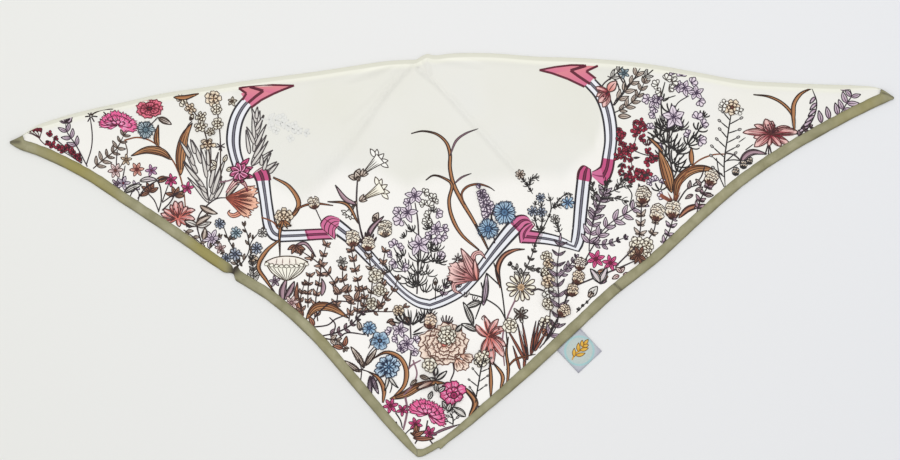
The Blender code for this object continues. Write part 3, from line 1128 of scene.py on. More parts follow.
def lily(pen, r, tint, rng, heart="rust"):
    """Six curling petals, every other one on top, and six stamens."""
    width = 0.36 * r
    for i in (0, 2, 4, 1, 3, 5):
        a = 360 * i / 6 + rng.uniform(-10, 10)
        reach = r * rng.uniform(0.8, 1.1)
        bend = rng.choice((-1, 1)) * rng.uniform(20, 58)
        pen.petal((0, 0), a - bend * 0.3, reach, width, bend, tint, 3, shape=pointed_shape, vein=dark(tint))
        pen.blade((0, 0), a - bend * 0.3, reach * 0.66, width * 0.3, bend * 0.66, lance_shape,
                  (dark(tint), deep(tint)))
    pen.press.hold()
    for i in range(6):
        a = math.radians(20 + 320 * i / 6)
        q = polar(r * 0.5, a + 0.25)
        pen.stroke([(0, 0), polar(r * 0.28, a), q], dark(heart), 0.7)
        pen.blade(q, math.degrees(a) + 70, r * 0.13, r * 0.07, 0, round_shape, (dark(heart), dark(heart)))
    pen.press.release()


def frilled(pen, r, tint, rng, rings=((1.0, 9, 60), (0.72, 7, 70), (0.46, 5, 90)), frill=0.08, teeth=4,
            heart=None, edge=None, streak=None):
    """Rings of frilled petals, each inside the last. A ring is (share of r, petals, spread)."""
    for k, (share, count, spread) in enumerate(rings):
        for i in range(count):
            a = 360 * (i + 0.5 * k) / count + rng.uniform(-7, 7)
            reach = r * share * rng.uniform(0.9, 1.08)
            pen.fan((0, 0), a, spread * rng.uniform(0.85, 1.1), reach, (deep(tint), edge or pale(tint)),
                    dark(tint), frill, teeth, 2 if r * share < 9 else 4, 0.05, rng.uniform(0, 6),
                    LINE if r > 10 else LINE * 0.75, vein=streak)
    if heart:
        heart_disc(pen, r * 0.2, (deep(heart), dark(heart)), dark(heart), 6)


def dianthus(pen, r, tint, rng):
    """A fringed flower seen partly from the side, its petals rising from below."""
    foot = -0.3 * r
    rings = (
        (1.0, (-150, -30, -172, -8, 8, 172, 30, 150, 56, 124, 80, 102)),
        (0.72, (15, 165, 48, 132, 75, 105)),
        (0.42, (40, 140, 90)),
    )
    for share, angles in rings:
        for a in angles:
            reach = r * share * rng.uniform(0.92, 1.06) * (0.62 if a < -9 and a > -171 else 1.0)
            pen.fan((0, foot), a, 40, reach, (deep(tint), pale(tint)), dark(tint), 0.1, 4, 3, 0.05,
                    rng.uniform(0, 6), LINE * 0.85, vein=STREAK)


def peony(pen, r, tint, rng):
    """Five rings of frilled petals round a coral spot."""
    frilled(pen, r, tint, rng,
            ((1.0, 9, 62), (0.84, 8, 60), (0.66, 7, 64), (0.48, 6, 76), (0.3, 4, 100)), 0.07, 3)
    heart_disc(pen, r * 0.1, (deep("coral"), deep("coral")), dark(tint), 0)


def phlox(pen, r, tint, rng):
    """Five broad petals that overlap."""
    turn = rng.uniform(0, 72)
    pen.press.hold()
    for i in range(5):
        bend = rng.uniform(-30, 30)
        pen.petal((0, 0), turn + 72 * i - bend / 2, r * rng.uniform(0.85, 1.15), r * 0.56, bend, tint, 1,
                  lw=LINE * 0.8)
    pen.press.release()
    pen.disc(0, 0, r * 0.12, (dark(tint), dark(tint)), None, n=6)


def lips(pen, r, tint, rng):
    """A little two-lipped floret seen from the side."""
    for turn, reach, w in ((62, 0.8, 0.5), (-58, 0.8, 0.5), (25, 1.0, 0.55), (-20, 1.0, 0.55)):
        pen.petal((0, 0), turn + rng.uniform(-10, 10), r * reach, r * w, rng.uniform(-20, 20), tint,
                  shape=petal_shape, lw=LINE * 0.8)


def spike(pen, height, r, tint, rng, rows=6, stem="slate"):
    """A flower spike standing along +X of the pen."""
    pen.stroke([(-height * 0.25, 0), (0, 0), (height, 0)], dark(stem), 0.9)
    for k in range(rows):
        x = height * k / rows
        size = r * (1 - 0.55 * k / rows)
        for side in (-1, 1):
            lips(pen.at(x, side * size * 0.25, side * rng.uniform(35, 80)), size, tint, rng)
        if k % 2 == 0:
            lips(pen.at(x + size * 0.2, 0, rng.uniform(-30, 30)), size * 0.8, tint, rng)
    for side in (-1, 0, 1):
        pen.petal((height, 0), side * 22, r * 0.7, r * 0.28, 0, tint, lw=LINE * 0.8)


def clover(pen, r, tint, rng, leaf="thyme", rows=4):
    """A domed head of little scales, standing along +X, on a collar of leaves."""
    for a in (-80, -42, 42, 80):
        pen.petal((-r * 0.8, 0), a, r * 0.85, r * 0.26, -a * 0.4, leaf, lw=LINE * 0.8)
    pen.petal((-r, 0), 0, 2 * r, 1.4 * r, 0, leaf, shape=round_shape, tip=tint, lw=LINE * 0.85)
    for k in range(rows):
        x = r * (0.4 - 1.15 * k / rows)
        wide = math.sqrt(max(0.1, 1 - (x / r) ** 2)) * r * 0.66
        count = 2 + k % 2
        for i in range(count):
            y = wide * (2 * (i + 0.5) / count - 1)
            pen.fan((x - r * 0.2, y * 0.8), y / r * 50 + rng.uniform(-9, 9), 88,
                    r * rng.uniform(0.56, 0.74), (deep("tan"), pale(tint)), dark(leaf), 0.08, 2, 1, 0.1,
                    lw=LINE * 0.7)
    for a in (-34, -12, 12, 34):
        pen.blade((-r * 0.95, 0), a, r * rng.uniform(0.5, 0.8), r * 0.2, 0, leaf_shape,
                  (dark(leaf), deep(leaf)), dark(leaf), lw=LINE * 0.6)


def whorled(pen, path, tint, rng, whorls=5, leaf=5.0, stem=None):
    """A stem with whorls of small leaves, like thyme."""
    line = smooth_path(path)
    pen.press.hold()
    pen.stroke(path, dark(stem or tint), 1.3, (1, 0.7))
    for i in range(whorls):
        (x, y), heading = along(line, (i + 0.6) / whorls)
        for side in (-1, 1):
            for a, share in ((52, 1.0), (95, 0.6)):
                pen.petal((x, y), heading + side * (a + rng.uniform(-14, 14)),
                          leaf * share * rng.uniform(0.7, 1.05), leaf * 0.34 * share, side * -16, tint,
                          lw=LINE * 0.75)
    pen.press.release()


def bell(pen, r, tint, rng, leaf="greybrown", mouth=5):
    """A trumpet-shaped flower opening along +X."""
    for i in range(mouth):
        a = -64 + 128 * i / (mouth - 1)
        pen.blade((r * 0.82, r * 0.19 * math.sin(math.radians(a))), a, r * 0.36, r * 0.17, a * 0.3,
                  leaf_shape, (pale(tint), pale(tint)), dark(tint), 0, lw=LINE * 0.8)
    pen.blade((0, 0), 0, r * 0.95, r * 0.46, rng.uniform(-6, 6), lambda t: 0.22 + 0.78 * t**1.5,
              (deep(tint), pale(tint)), dark(tint), 3, lw=LINE * 0.8)
    for a in (-26, 0, 26):
        pen.petal((-r * 0.1, 0), a, r * 0.32, r * 0.11, 0, leaf, lw=LINE * 0.8)


def trumpet(pen, fans, curls, tint, rng):
    """A lily from the side: frilled petals swept back from the throat, and tips that curl over."""
    for path in curls:
        pen.leaf(smooth_path(path, 2.0), 5.0, grass_shape, (deep(tint), pale(tint)), dark(tint), 1,
                 lw=LINE * 0.8)
    for angle, spread, reach in fans:
        pen.fan((0, 0), angle, spread, reach, (deep(tint), pale(tint)), dark(tint), 0.06, 4, 6, 0.04,
                rng.uniform(0, 6), LINE)
        for turn, share in ((-0.3, 0.7), (0.0, 0.55), (0.3, 0.7)):
            pen.blade((0, 0), angle + spread * turn, reach * share, 1.7, 0, lance_shape,
                      (dark(tint), deep(tint)))


def curled(pen, petals, tint, stamens=(), heart="crimson", streak=0.3, throat=0.5):
    """An open lily. Each petal is (direction, length, width, how far it bends).

    A streak down each petal is this share of its width, and goes this share of its length.
    """
    for angle, reach, width, bend in petals:
        pen.petal((0, 0), angle - bend / 2, reach, width, bend, tint, 2, shape=pointed_shape,
                  lw=LINE * 0.95)
        pen.blade((0, 0), angle - bend / 2, reach * throat, width * streak, bend / 2, lance_shape,
                  (deep(heart), deep(tint)))
        for side in (-0.22, 0.22):
            lean = math.radians(angle)
            x, y = -side * width * math.sin(lean), side * width * math.cos(lean)
            end = (x + 0.8 * reach * math.cos(lean), y + 0.8 * reach * math.sin(lean))
            pen.stroke([(x, y), end], deep(heart), 0.7, (1.0, 0.3))
    for angle, reach in stamens:
        pen.blade((0, 0), angle, reach, 1.4, 12, lance_shape, (dark(heart), dark(heart)))
        pen.disc(*polar(reach, math.radians(angle + 8)), 1.1, (dark(heart), dark(heart)), None, n=6)


def bowl(pen, r, tint):
    """A broad fluted cup of a flower, upright, its mouth seen as a flat ring."""
    front = [(-r, 0), (-0.6 * r, -0.17 * r), (0, -0.24 * r), (0.6 * r, -0.17 * r), (r, 0)]
    back = [(-r, 0), (-0.55 * r, 0.2 * r), (0, 0.27 * r), (0.55 * r, 0.2 * r), (r, 0)]
    base = [(-0.96 * r, -0.1 * r), (-0.62 * r, -0.56 * r), (0, -0.86 * r), (0.62 * r, -0.56 * r),
            (0.96 * r, -0.1 * r)]
    panel(pen, back, front, (pale("blush"), pale(tint)))
    panel(pen, front, base, (pale(tint), pale(tint)))
    for line in (back, front, base):
        pen.stroke(line, dark(tint), LINE, (1, 1))
    for i in range(9):
        x = r * (-0.88 + 0.22 * i)
        top = -0.24 * r * math.sqrt(max(0.0, 1 - (x / r) ** 2))
        pen.stroke([(x, top), (x * 0.72, top * 0.6 - 0.34 * r), (x * 0.14, -0.84 * r)], dark(tint), 0.7)
        pen.fan((x, top - 0.05 * r), 90 - 40 * x / r, 120, 0.16 * r, (pale(tint), pale(tint)), dark(tint),
                0.03, 1, 0, 0.1, lw=0.7)
    for x in (-0.5, -0.2, 0.15, 0.45):
        pen.stroke([(x * r, -0.12 * r), (x * 0.9 * r, 0.16 * r)], dark("coral"), 0.7)


def berries(pen, spots, r, tint, root=None):
    """Ragged little blossoms, close together, each on a stem from the root where there is one."""
    for x, y in spots:
        if root:
            pen.stroke([root, ((root[0] + x) / 2 + 1.5, (root[1] + y) / 2), (x, y)], dark("plum"), 0.7)
    for n, (x, y) in enumerate(spots):
        size = r * (1.25 + 0.3 * math.sin(5.1 * n))
        pen.press.hold()
        for k in range(5):
            a = 72 * k + 37 * n + 14 * math.sin(3.3 * k + n)
            reach = size * (0.8 + 0.3 * math.sin(7.7 * k + 2.1 * n))
            pen.blade((x, y), a, reach, size * 0.62, 15, petal_shape, (dark(tint), pale(tint)),
                      dark(tint), 0, lw=0.75, n=6)
        pen.press.release()


def cluster(pen, spots, r, tint, rng):
    """Small four-petalled blossoms crowded together."""
    for x, y in spots:
        pen.press.hold()
        turn = rng.uniform(0, 90)
        for k in range(4):
            pen.petal((x, y), turn + 90 * k, r, r * 0.8, 0, tint, shape=petal_shape, lw=0.6, n=6)
        pen.press.release()


def pods(pen, path, tint, rng, count=8, reach=7.0, pod=1.4):
    """A stem with little pods on side stalks."""
    line = smooth_path(path)
    pen.press.hold()
    pen.stroke(path, dark(tint), 1.5)
    for i in range(count):
        (x, y), heading = along(line, 0.12 + 0.85 * i / count)
        side = (-1) ** i
        a = math.radians(heading + side * rng.uniform(45, 65))
        size = reach * (1 - 0.4 * i / count) * rng.uniform(0.85, 1.2)
        q = (x + size * math.cos(a), y + size * math.sin(a))
        pen.stroke([(x, y), q], dark(tint), 1.25)
        pen.blade(q, math.degrees(a), pod * 2.4, pod * 1.3, 0, round_shape, (deep(tint), POD_TIP),
                  dark(tint), 0, lw=0.8, n=6)
    pen.press.release()


def needles(pen, r, tint, rng, count=9, spread=150, width=1.35):
    """A tuft of separate needles, fanning about +X, each one drawn up at its tip."""
    burst = spread > 250
    fan = spread if burst else min(spread, 150)
    bends = (1.0, 1.0, 1.0, 1.0) if burst else (1.0, 1.0, 0.9, 0.76)
    count = int(round(count))
    for i in range(count):
        a = math.radians(-fan / 2 + fan * i / max(count - 1, 1) + rng.uniform(-5, 5))
        reach = r * rng.uniform(0.95, 1.3)
        points = [polar(reach * share, a * bend) for share, bend in zip((0.1, 0.5, 0.8, 1.0), bends)]
        pen.stroke(points, dark(tint), width * rng.uniform(0.85, 1.15), (1.0, 0.35))


def spiky(pen, path, tint, rng, tufts=5, r=8.0, count=7, spread=150):
    """A stem with tufts of needles along it."""
    line = smooth_path(path)
    pen.stroke(path, dark(tint), 1.3)
    for i in range(tufts):
        (x, y), heading = along(line, (i + 0.5) / tufts)
        needles(pen.at(x, y, heading), r * rng.uniform(0.7, 1.0), tint, rng, min(count, 5), spread, 0.9)


def saw_leaf(pen, base, angle, length, width, tint, bend=10):
    """A leaf with toothed edges."""
    pen.petal(base, angle, length, width, bend, tint, 3, shape=saw_shape, n=16)


def bud(pen, r, tint, leaf="greybrown"):
    """A closed flower pointing along +X, held by two leaves."""
    pen.petal((-r * 0.6, 0), 0, r * 1.7, r, 0, tint, 1)
    for a in (-24, 24):
        pen.petal((-r * 0.7, 0), a, r * 0.9, r * 0.3, -a, leaf)


# ---------------------------------------------------------------- the ribbon frame

# edge, stripe and middle colour of the band, and of its pink and magenta backs
BAND = {
    "band": ((36, 34, 42), (240, 241, 247), (118, 116, 130)),
    "pink": ((66, 12, 38), (212, 110, 154), (138, 44, 90)),
    "magenta": ((60, 8, 32), (200, 78, 130), (122, 30, 72)),
}
# Across the band: from, to, and which of its colours
STRIPES = (
    (0.0, 0.14, 0), (0.14, 0.385, 1), (0.385, 0.45, 0), (0.45, 0.55, 2), (0.55, 0.615, 0),
    (0.615, 0.86, 1), (0.86, 1.0, 0),
)
LOOP_STRIPES = (
    (0.0, 0.07, 0), (0.07, 0.24, 1), (0.24, 0.3, 0), (0.3, 0.5, 1), (0.5, 0.56, 0), (0.56, 0.76, 1),
    (0.76, 0.81, 0), (0.81, 0.93, 1), (0.93, 1.0, 0),
)
TUCKED_STRIPES = ((0.0, 0.12, 0), (0.12, 0.5, 1), (0.5, 0.6, 2), (0.6, 1.0, 1))
ALL_PINK = ((0.0, 1.0, "pink"),)
ALL_MAGENTA = ((0.0, 1.0, "magenta"),)
BAND_STEP = 2.5  # between points along a band


def resample(line, count):
    """A line as so many points, evenly spaced."""
    steps = np.hypot(*np.diff(line, axis=0).T)
    length = np.concatenate([[0], np.cumsum(steps)])
    at = np.linspace(0, length[-1], count)
    return np.stack([np.interp(at, length, line[:, k]) for k in (0, 1)], axis=1)


def length_of(line):
    return np.hypot(*np.diff(line, axis=0).T).sum()


def ribbon(pen, left, right, runs=((0.0, 1.0, "band"),), stripes=STRIPES):
    """A striped band between two lines. Each run of it is (from, to, which side of the band)."""
    a, b = smooth_path(left, BAND_STEP), smooth_path(right, BAND_STEP)
    count = max(4, int(length_of(a) / BAND_STEP))
    a, b = resample(a, count), resample(b, count)
    pen.press.hold()
    for start, end, name in runs:
        lo, hi = int(start * (count - 1)), int(math.ceil(end * (count - 1))) + 1
        for f0, f1, which in stripes:
            edge0, edge1 = (a + (b - a) * f0)[lo:hi], (a + (b - a) * f1)[lo:hi]
            points = np.stack([edge0, edge1], axis=1).reshape(-1, 2)
            n = len(edge0)
            colour = BAND[name][which]
            pen.press.shape(points, strip_faces(n, 2), np.repeat(np.linspace(0, 1, n), 2),
                            np.tile([0.0, 1.0], n), pen.press.ink(colour, colour))
    pen.press.release()


def panel(pen, top, bottom, fill):
    """A flat area between two lines, in cells small enough to follow the cloth."""
    a, b = (pen.world(smooth_path(c, BAND_STEP)) for c in (top, bottom))
    count = max(4, int(max(length_of(a), length_of(b)) / BAND_STEP))
    a, b = resample(a, count), resample(b, count)
    across = max(2, int(np.hypot(*(b - a).T).max() / BAND_STEP) + 1)
    points = np.stack([a + (b - a) * f for f in np.linspace(0, 1, across)], axis=1).reshape(-1, 2)
    t, s = np.repeat(np.linspace(0, 1, count), across), np.tile(np.linspace(0, 1, across), count)
    pen.press.shape(points, strip_faces(count, across), t, s, pen.press.ink(*fill))


def edges(pen, lines):
    """Straight maroon lines from point to point. Each is (points, width)."""
    for line, width in lines:
        for a, b in zip(line, line[1:]):
            pen.stroke([a, b], MAROON, width, (1, 1))


PINK = (218, 114, 148)
CORAL = (228, 142, 146)
MAROON = (96, 20, 44)


def ribbon_left(p):
    ribbon(p, [(-176, -38), (-187, -51), (-194, -67), (-196.5, -85), (-194, -100), (-190, -113)],
           [(-163, -46), (-171, -53), (-178, -66), (-181, -82), (-180.5, -97), (-176, -112)])
    ribbon(p, [(-166, -127), (-162, -148), (-159, -172), (-155, -183), (-149, -189), (-141, -191)],
           [(-151, -126), (-149, -145), (-145, -170), (-143, -175), (-140, -177), (-136, -178)])
    ribbon(p, [(-141, -191), (-120, -190), (-100, -188.5), (-86, -188)],
           [(-136, -178), (-120, -177.5), (-110, -177), (-98, -176.5)],
           ((0.0, 0.55, "band"), (0.55, 1.0, "pink")))
    # the loop at the end of the lower run
    ribbon(p, [(-98, -176.5), (-100, -172), (-96, -166), (-89, -163), (-80, -166)],
           [(-84, -188), (-83, -184), (-84, -179), (-81, -175), (-77, -172)],
           ALL_PINK, LOOP_STRIPES)
    p.stroke([(-98, -176.5), (-84, -188)], MAROON, 0.9)
    p.stroke([(-96, -166), (-80, -178), (-82, -186)], MAROON, 0.9)
    # the pink turn at the top of the second run
    ribbon(p, [(-169, -121), (-168, -124), (-166, -128)], [(-156, -113), (-152, -118), (-150, -127)],
           ALL_MAGENTA)
    p.stroke([(-169, -121), (-163, -116), (-156, -113), (-152, -119), (-150, -127)], MAROON, 1.0)
    # the arrowhead
    panel(p, [(-181, -38), (-176, -35)], [(-175, -47), (-168, -43)], (PINK, CORAL))
    panel(p, [(-178.6, -43.6), (-175.4, -37.7), (-183, -32.5)],
          [(-173.5, -46.5), (-158, -35.1), (-172, -31)], (PINK, CORAL))
    panel(p, [(-173.5, -46.5), (-164, -40), (-158, -35.1), (-165, -33), (-172, -31)],
          [(-169.8, -51.6), (-160, -44.5), (-148, -38.3), (-138, -34), (-126.4, -29.6)], (PINK, CORAL))
    panel(p, [(-172, -31), (-158, -35.1)], [(-126.4, -29.6), (-148, -38.3)], (CORAL, PINK))
    edges(p, (
        ([(-183, -32.5), (-175.4, -37.7), (-179.6, -44.6)], 2.4),
        ([(-172, -31), (-158, -35.1), (-166, -41), (-173.5, -47.5)], 2.9),
        ([(-183, -32.5), (-172, -30.4), (-158, -28.9), (-126.4, -29.6)], 1.9),
        ([(-126.4, -29.6), (-138, -34), (-148, -38.3), (-160, -44.5), (-170.8, -52.6)], 2.3),
    ))


# ---------------------------------------------------------------- the printed garden
# Later plants lie over earlier ones.

# Rings of small frilled flowers: share of the radius, petals, spread
SEVEN_WIDE = ((1.0, 7, 56), (0.62, 5, 74))
SEVEN_SMALL = ((1.0, 7, 56), (0.6, 5, 74))
SEVEN_CLOSE = ((1.0, 7, 58), (0.6, 5, 74))
SIX_WIDE = ((1.0, 6, 62), (0.6, 4, 80))


def left_wing(p, rng):
    for x in (-402, -398, -394, -390, -386):
        stalk(p, [(-388, -84), (x * 0.5 - 194, -80), (x, -77.5)], "crimson", 0.7)
        p.blade((x, -78), 90 + (x + 394) * 3, 5, 4.4, 0, petal_shape, (dark("crimson"), deep("crimson")),
                dark("crimson"), 0, lw=0.7)
    stalk(p, [(-391, -80), (-387, -86), (-382, -91)], "crimson", 0.8)
    berries(p, [(-378, -80), (-372, -84), (-380, -88), (-368, -93), (-362, -95), (-356, -98),
                (-351, -102), (-347, -105), (-365, -97), (-376, -91), (-358, -93), (-353, -98),
                (-347, -101)], 3.3, "crimson", (-345, -110))
    sprig(p, [(-339, -113), (-350, -92), (-360, -77), (-361, -67)], "mauve", rng, 4, 13, 5, 50,
          start=0.45, taper=0.3)
    needles(p.at(-361, -68, 80), 6, "plum", rng, 5, 150)
    stalk(p, [(-340, -111), (-335, -95), (-334, -80), (-336, -62)], "plum", 1.0)
    needles(p.at(-335, -61, 90), 5.5, "plum", rng, 7, 300)
    stalk(p, [(-335, -60), (-324, -55), (-312, -54)], "greybrown", 1.1)
    stalk(p, [(-324, -55), (-313, -66)], "plum", 1.0)
    sprig(p, [(-333, -115), (-320, -104), (-309, -95), (-301, -80)], "greybrown", rng, 7, 10.5, 3.4, 62,
          start=0.1, taper=0.35)
    stalk(p, [(-308, -96), (-309, -110), (-307, -128)], "plum", 0.9)
    stalk(p, [(-300, -88), (-298, -100), (-306, -115)], "tan", 0.9)
    stalk(p, [(-301, -86), (-288, -83), (-275, -86), (-262, -95), (-251, -107), (-244, -122), (-240, -138),
              (-238, -156)], "brown", 1.3)
    dianthus(p.at(-307, -66.5, -8, 1.0, 0.66), 20.5, "magenta", rng)
    frilled(p.at(-275, -53.5, 2, 1.0, 0.62), 14.6, "rose", rng, ((1.0, 7, 66), (0.66, 6, 70)), 0.07, 3,
            "crimson")
    cornflower(p.at(-279, -75), 9, "teal", rng)
    p.at(-266, -63).petal((0, 0), -22, 15, 6, -8, "greybrown", 3, tip="blush")
    stalk(p, [(-276, -72), (-270, -66), (-266, -62)], "plum")
    grass(p, [(-266, -93), (-268, -84), (-266, -70)], 5, "brown", leaf_shape, 1)
    grass(p, [(-252, -106), (-263, -98), (-278, -96), (-294, -102)], 8, "brown", leaf_shape, 3)
    grass(p, [(-243, -122), (-243, -102), (-239, -82), (-231, -68)], 10, "brown", leaf_shape, 3)
    stalk(p, [(-240, -79), (-235, -70), (-231, -66)], "brown")
    bud(p.at(-232, -63, 60), 4, "cream")
    star(p.at(-310, -117), 8, "blush", rng, 6, "rust")
    star(p.at(-299, -106), 6, "tan", rng, 5)
    star(p.at(-309, -131), 6, "mauve", rng, 5)
    stalk(p, [(-308, -140), (-303, -126), (-300, -112)], "plum", 1.0)
    stalk(p, [(-296, -146), (-292, -138), (-284, -132)], "plum", 1.0)
    star(p.at(-288, -116), 7.5, "coral", rng, 6, "crimson")
    star(p.at(-273, -117), 6.5, "violet", rng, 5, "crimson")
    star(p.at(-302, -130), 7.5, "lilac", rng, 5, "crimson")
    star(p.at(-290, -133), 6, "lilac", rng, 5)
    star(p.at(-253, -127), 7, "magenta", rng, 6, "crimson")
    star(p.at(-236, -135), 7, "magenta", rng, 5, "crimson")
    p.petal((-301, -140), 38, 20, 6, -25, "grey", 3)
    p.petal((-285, -128), 20, 18, 5, -30, "grey", 1, tip="mauve")
    for x, y, turns in ((-275, -139, (60, 100, 140, 200, 20)), (-249, -143, (100, 60, 20, 160, -5)),
                        (-257, -125, (175, 200))):
        for a in turns:
            p.blade((x, y), a, 10, 4, 12, leaf_shape, (dark("rust"), pale("rust")), dark("rust"), 1)
    stalk(p, [(-266, -160), (-263, -148), (-264, -134), (-268, -126)], "grey", 1.1)
    stalk(p, [(-266, -158), (-270, -148), (-276, -141)], "plum", 1.0)
    stalk(p, [(-262, -150), (-252, -143), (-240, -137)], "plum", 1.0)
    stalk(p, [(-262, -149), (-258, -138), (-255, -130)], "plum", 0.9)
    stalk(p, [(-287, -150), (-286, -140), (-292, -134)], "plum", 0.9)
    curled(p.at(-246, -165), ((-80, 10, 5, 0), (-38, 14, 6, -20), (206, 13, 6, 25), (188, 16, 6, 20),
                              (168, 18, 6, -20), (150, 17, 6, -15), (120, 15, 6, -10), (-8, 18, 6.5, -25),
                              (22, 20, 6, -50), (45, 15, 6, -25), (76, 17, 7.5, -12), (100, 17, 7.5, 10)),
           "pink", ((60, 9), (80, 10), (105, 9), (130, 8)), "coral", 0.2, 0.45)
    needles(p.at(-236, -176, 60), 8, "plum", rng, 5, 90)
    for path in ([(-287, -146), (-280, -136), (-268, -128), (-254, -124)],
                 [(-262, -158), (-254, -150), (-248, -140)]):
        stalk(p, path, "plum", 1.1)
    sprig(p, [(-240, -178), (-232, -184), (-222, -192)], "greybrown", rng, 3, 7, 2.8, 50, taper=0.2)
    star(p.at(-211, -187), 10, "lilac", rng, 6)
    star(p.at(-202, -197), 6, "blush", rng, 5)
    for a, reach in ((150, 14), (40, 17), (5, 15)):
        p.petal((-226, -174), a, reach, 5.5, 20, "grey", 1, line="greybrown")
    stalk(p, [(-222, -190), (-226, -175), (-224, -163), (-216, -153), (-206, -146), (-196, -145)], "plum",
          1.2)
    for x, y, a, reach, bend in ((-223, -153, -38, 20, 26), (-227, -173, 44, 18, -26),
                                 (-220, -188, 70, 12, 20)):
        p.petal((x, y), a, reach, 6, bend, "greybrown", 2)
    # the grey rosemary
    stalk(p, [(-214, -151), (-216, -130), (-215, -112), (-218, -96)], "grey", 1.1)
    for x, y, a, reach in (
        (-214, -150, 127, 34), (-215, -147, 118, 32), (-216, -140, 128, 32), (-219, -134, 132, 34),
        (-224, -128, 133, 26), (-226, -120, 118, 26), (-216, -125, 100, 32), (-215, -118, 84, 30),
        (-213, -135, 78, 38), (-212, -140, 66, 30), (-213, -148, 62, 28), (-210, -142, 74, 44),
        (-229, -112, 112, 24), (-233, -104, 118, 22), (-222, -110, 106, 26), (-228, -100, 104, 16),
        (-208, -146, 58, 22), (-214, -112, 96, 20),
    ):
        p.blade((x, y), a, reach, 4.3, rng.uniform(-10, 10), lance_shape, (deep("grey"), pale("grey")),
                ROSEMARY_LINE, lw=LINE)
    # the tall cream stems
    stalk(p, [(-212, -120), (-214, -95), (-219, -76), (-227, -60), (-238, -48)], "greybrown", 1.1)
    for x, y, r, tint in ((-241, -44, 8.5, "cream"), (-233, -53, 7.5, "tan"), (-222, -62, 7, "cream"),
                          (-222, -72, 8, "cream"), (-212, -77, 6, "cream"), (-215, -90, 8.5, "tan")):
        frilled(p.at(x, y, rng.uniform(0, 360), 0.72, 0.95), r, tint, rng, ((1.0, 5, 50), (0.6, 4, 70)),
                0.05, 2)
    stalk(p, [(-201, -133), (-202, -110), (-202, -92), (-203, -74), (-205, -58), (-208, -44)],
          "greybrown", 1.1)
    frilled(p.at(-209, -43), 8.5, "tan", rng, ((1.0, 7, 56), (0.6, 4, 80)), 0.05, 2)
    frilled(p.at(-206, -54), 6, "cream", rng, SIX_WIDE, 0.05, 2)
    frilled(p.at(-205, -69), 6, "cream", rng, SIX_WIDE, 0.05, 2)
    needles(p.at(-202, -92, 90), 4.5, "plum", rng, 7, 320)
    for x, y, a in ((-206, -112, 130), (-196, -117, 20), (-199, -108, 60), (-206, -113, 200)):
        p.petal((x, y), a, 8, 4, 10, "cream", 1, line="greybrown")
    grass(p, [(-250, -42), (-238, -42), (-224, -38)], 4, "brown", leaf_shape, 1)
    phlox(p.at(-190, -46), 5, "cream", rng)
    # the rosemary beside the band
    for x, y, a, reach in ((-170, -112, 70, 34), (-168, -98, 82, 32), (-167, -85, 96, 30),
                           (-164, -75, 84, 22), (-170, -112, 38, 30), (-172, -100, 100, 28),
                           (-166, -92, 66, 28), (-165, -68, 108, 18), (-158, -113, 62, 18),
                           (-156, -116, 35, 16), (-160, -112, 88, 14), (-165, -80, 72, 24),
                           (-168, -104, 58, 30), (-170, -112, 54, 34), (-166, -76, 62, 20),
                           (-167, -90, 112, 22), (-165, -64, 88, 14), (-152, -120, 50, 16),
                           (-158, -117, 70, 16)):
        p.blade((x, y), a, reach * 0.9, 3.9, rng.uniform(-8, 8), lance_shape, (deep("grey"), pale("grey")),
                ROSEMARY_LINE, lw=LINE)
    p.petal((-196, -145), 62, 20, 5, -30, "greybrown", 2, line="plum")
    for x, y, a in ((-181, -117, 8), (-180, -121, -20), (-182, -113, 34)):
        p.petal((x, y), a, 13, 5.0, 16, "magenta", 1)
    trumpet(p.at(-197, -145), ((14, 26, 33), (-36, 22, 31), (-12, 30, 34)),
            [[(14, -8), (15, -15), (8, -18.5), (3, -15.5), (5, -12.5)]], "salmon", rng)
    for a in (-38, -26, -16, -6, 6, 18):
        lean = math.radians(a)
        p.stroke([(-197 + reach * math.cos(lean), -145 + reach * math.sin(lean)) for reach in (9, 18, 28)],
                 dark("coral"), 1.0, (0.5, 1.0))
    p.leaf(smooth_path([(-196, -140), (-189, -131), (-184, -127), (-177, -131), (-174, -139)], 2.0), 4.6,
           grass_shape, (pale("pink"), pale("pink")), dark("rose"), 1)
    stalk(p, [(-203, -129), (-192, -127), (-184, -122)], "plum", 1.3)
    for a in range(0, 360, 45):
        p.blade((-182, -119), a + 10, 11, 6, 15, pointed_shape, (dark("magenta"), HOT_PINK),
                dark("crimson"), 2, vein=STREAK)
    stalk(p, [(-172, -122), (-180, -127), (-188, -126)], "crimson", 1.2)
    for path in ([(-214, -198), (-208, -192), (-203, -186)], [(-184, -216), (-190, -207), (-199, -201)]):
        sprig(p, path, "greybrown", rng, 3, 6, 2.4, 50, taper=0.2, both=False, stem="slate")
    # blue-grey flowers over the tuck
    for path in ([(-184, -216), (-188, -200), (-194, -188), (-200, -172)],
                 [(-186, -200), (-182, -210), (-184, -216)],
                 [(-182, -215), (-174, -203), (-170, -190), (-160, -178)],
                 [(-172, -197), (-174, -184), (-178, -174)], [(-194, -190), (-188, -184)],
                 [(-172, -204), (-164, -197)]):
        sprig(p, path, "greybrown", rng, 4, 6.5, 2.2, 40, taper=0.2, both=False, stem="slate")
    for x, y, r, tint in ((-203, -172, 5.5, "navy"), (-186, -181, 6, "teal"), (-196, -207, 5, "navy"),
                          (-187, -203, 6.5, "navy"), (-165, -197, 6, "navy"), (-159, -181, 5, "grey")):
        cornflower(p.at(x, y), r, tint, rng, 8)
    clover(p.at(-168, -209, 60), 5, "tan", rng, "greybrown", 2)
    sprig(p, [(-170, -236), (-168, -222), (-170, -208)], "grey", rng, 5, 10, 3.2, 45)


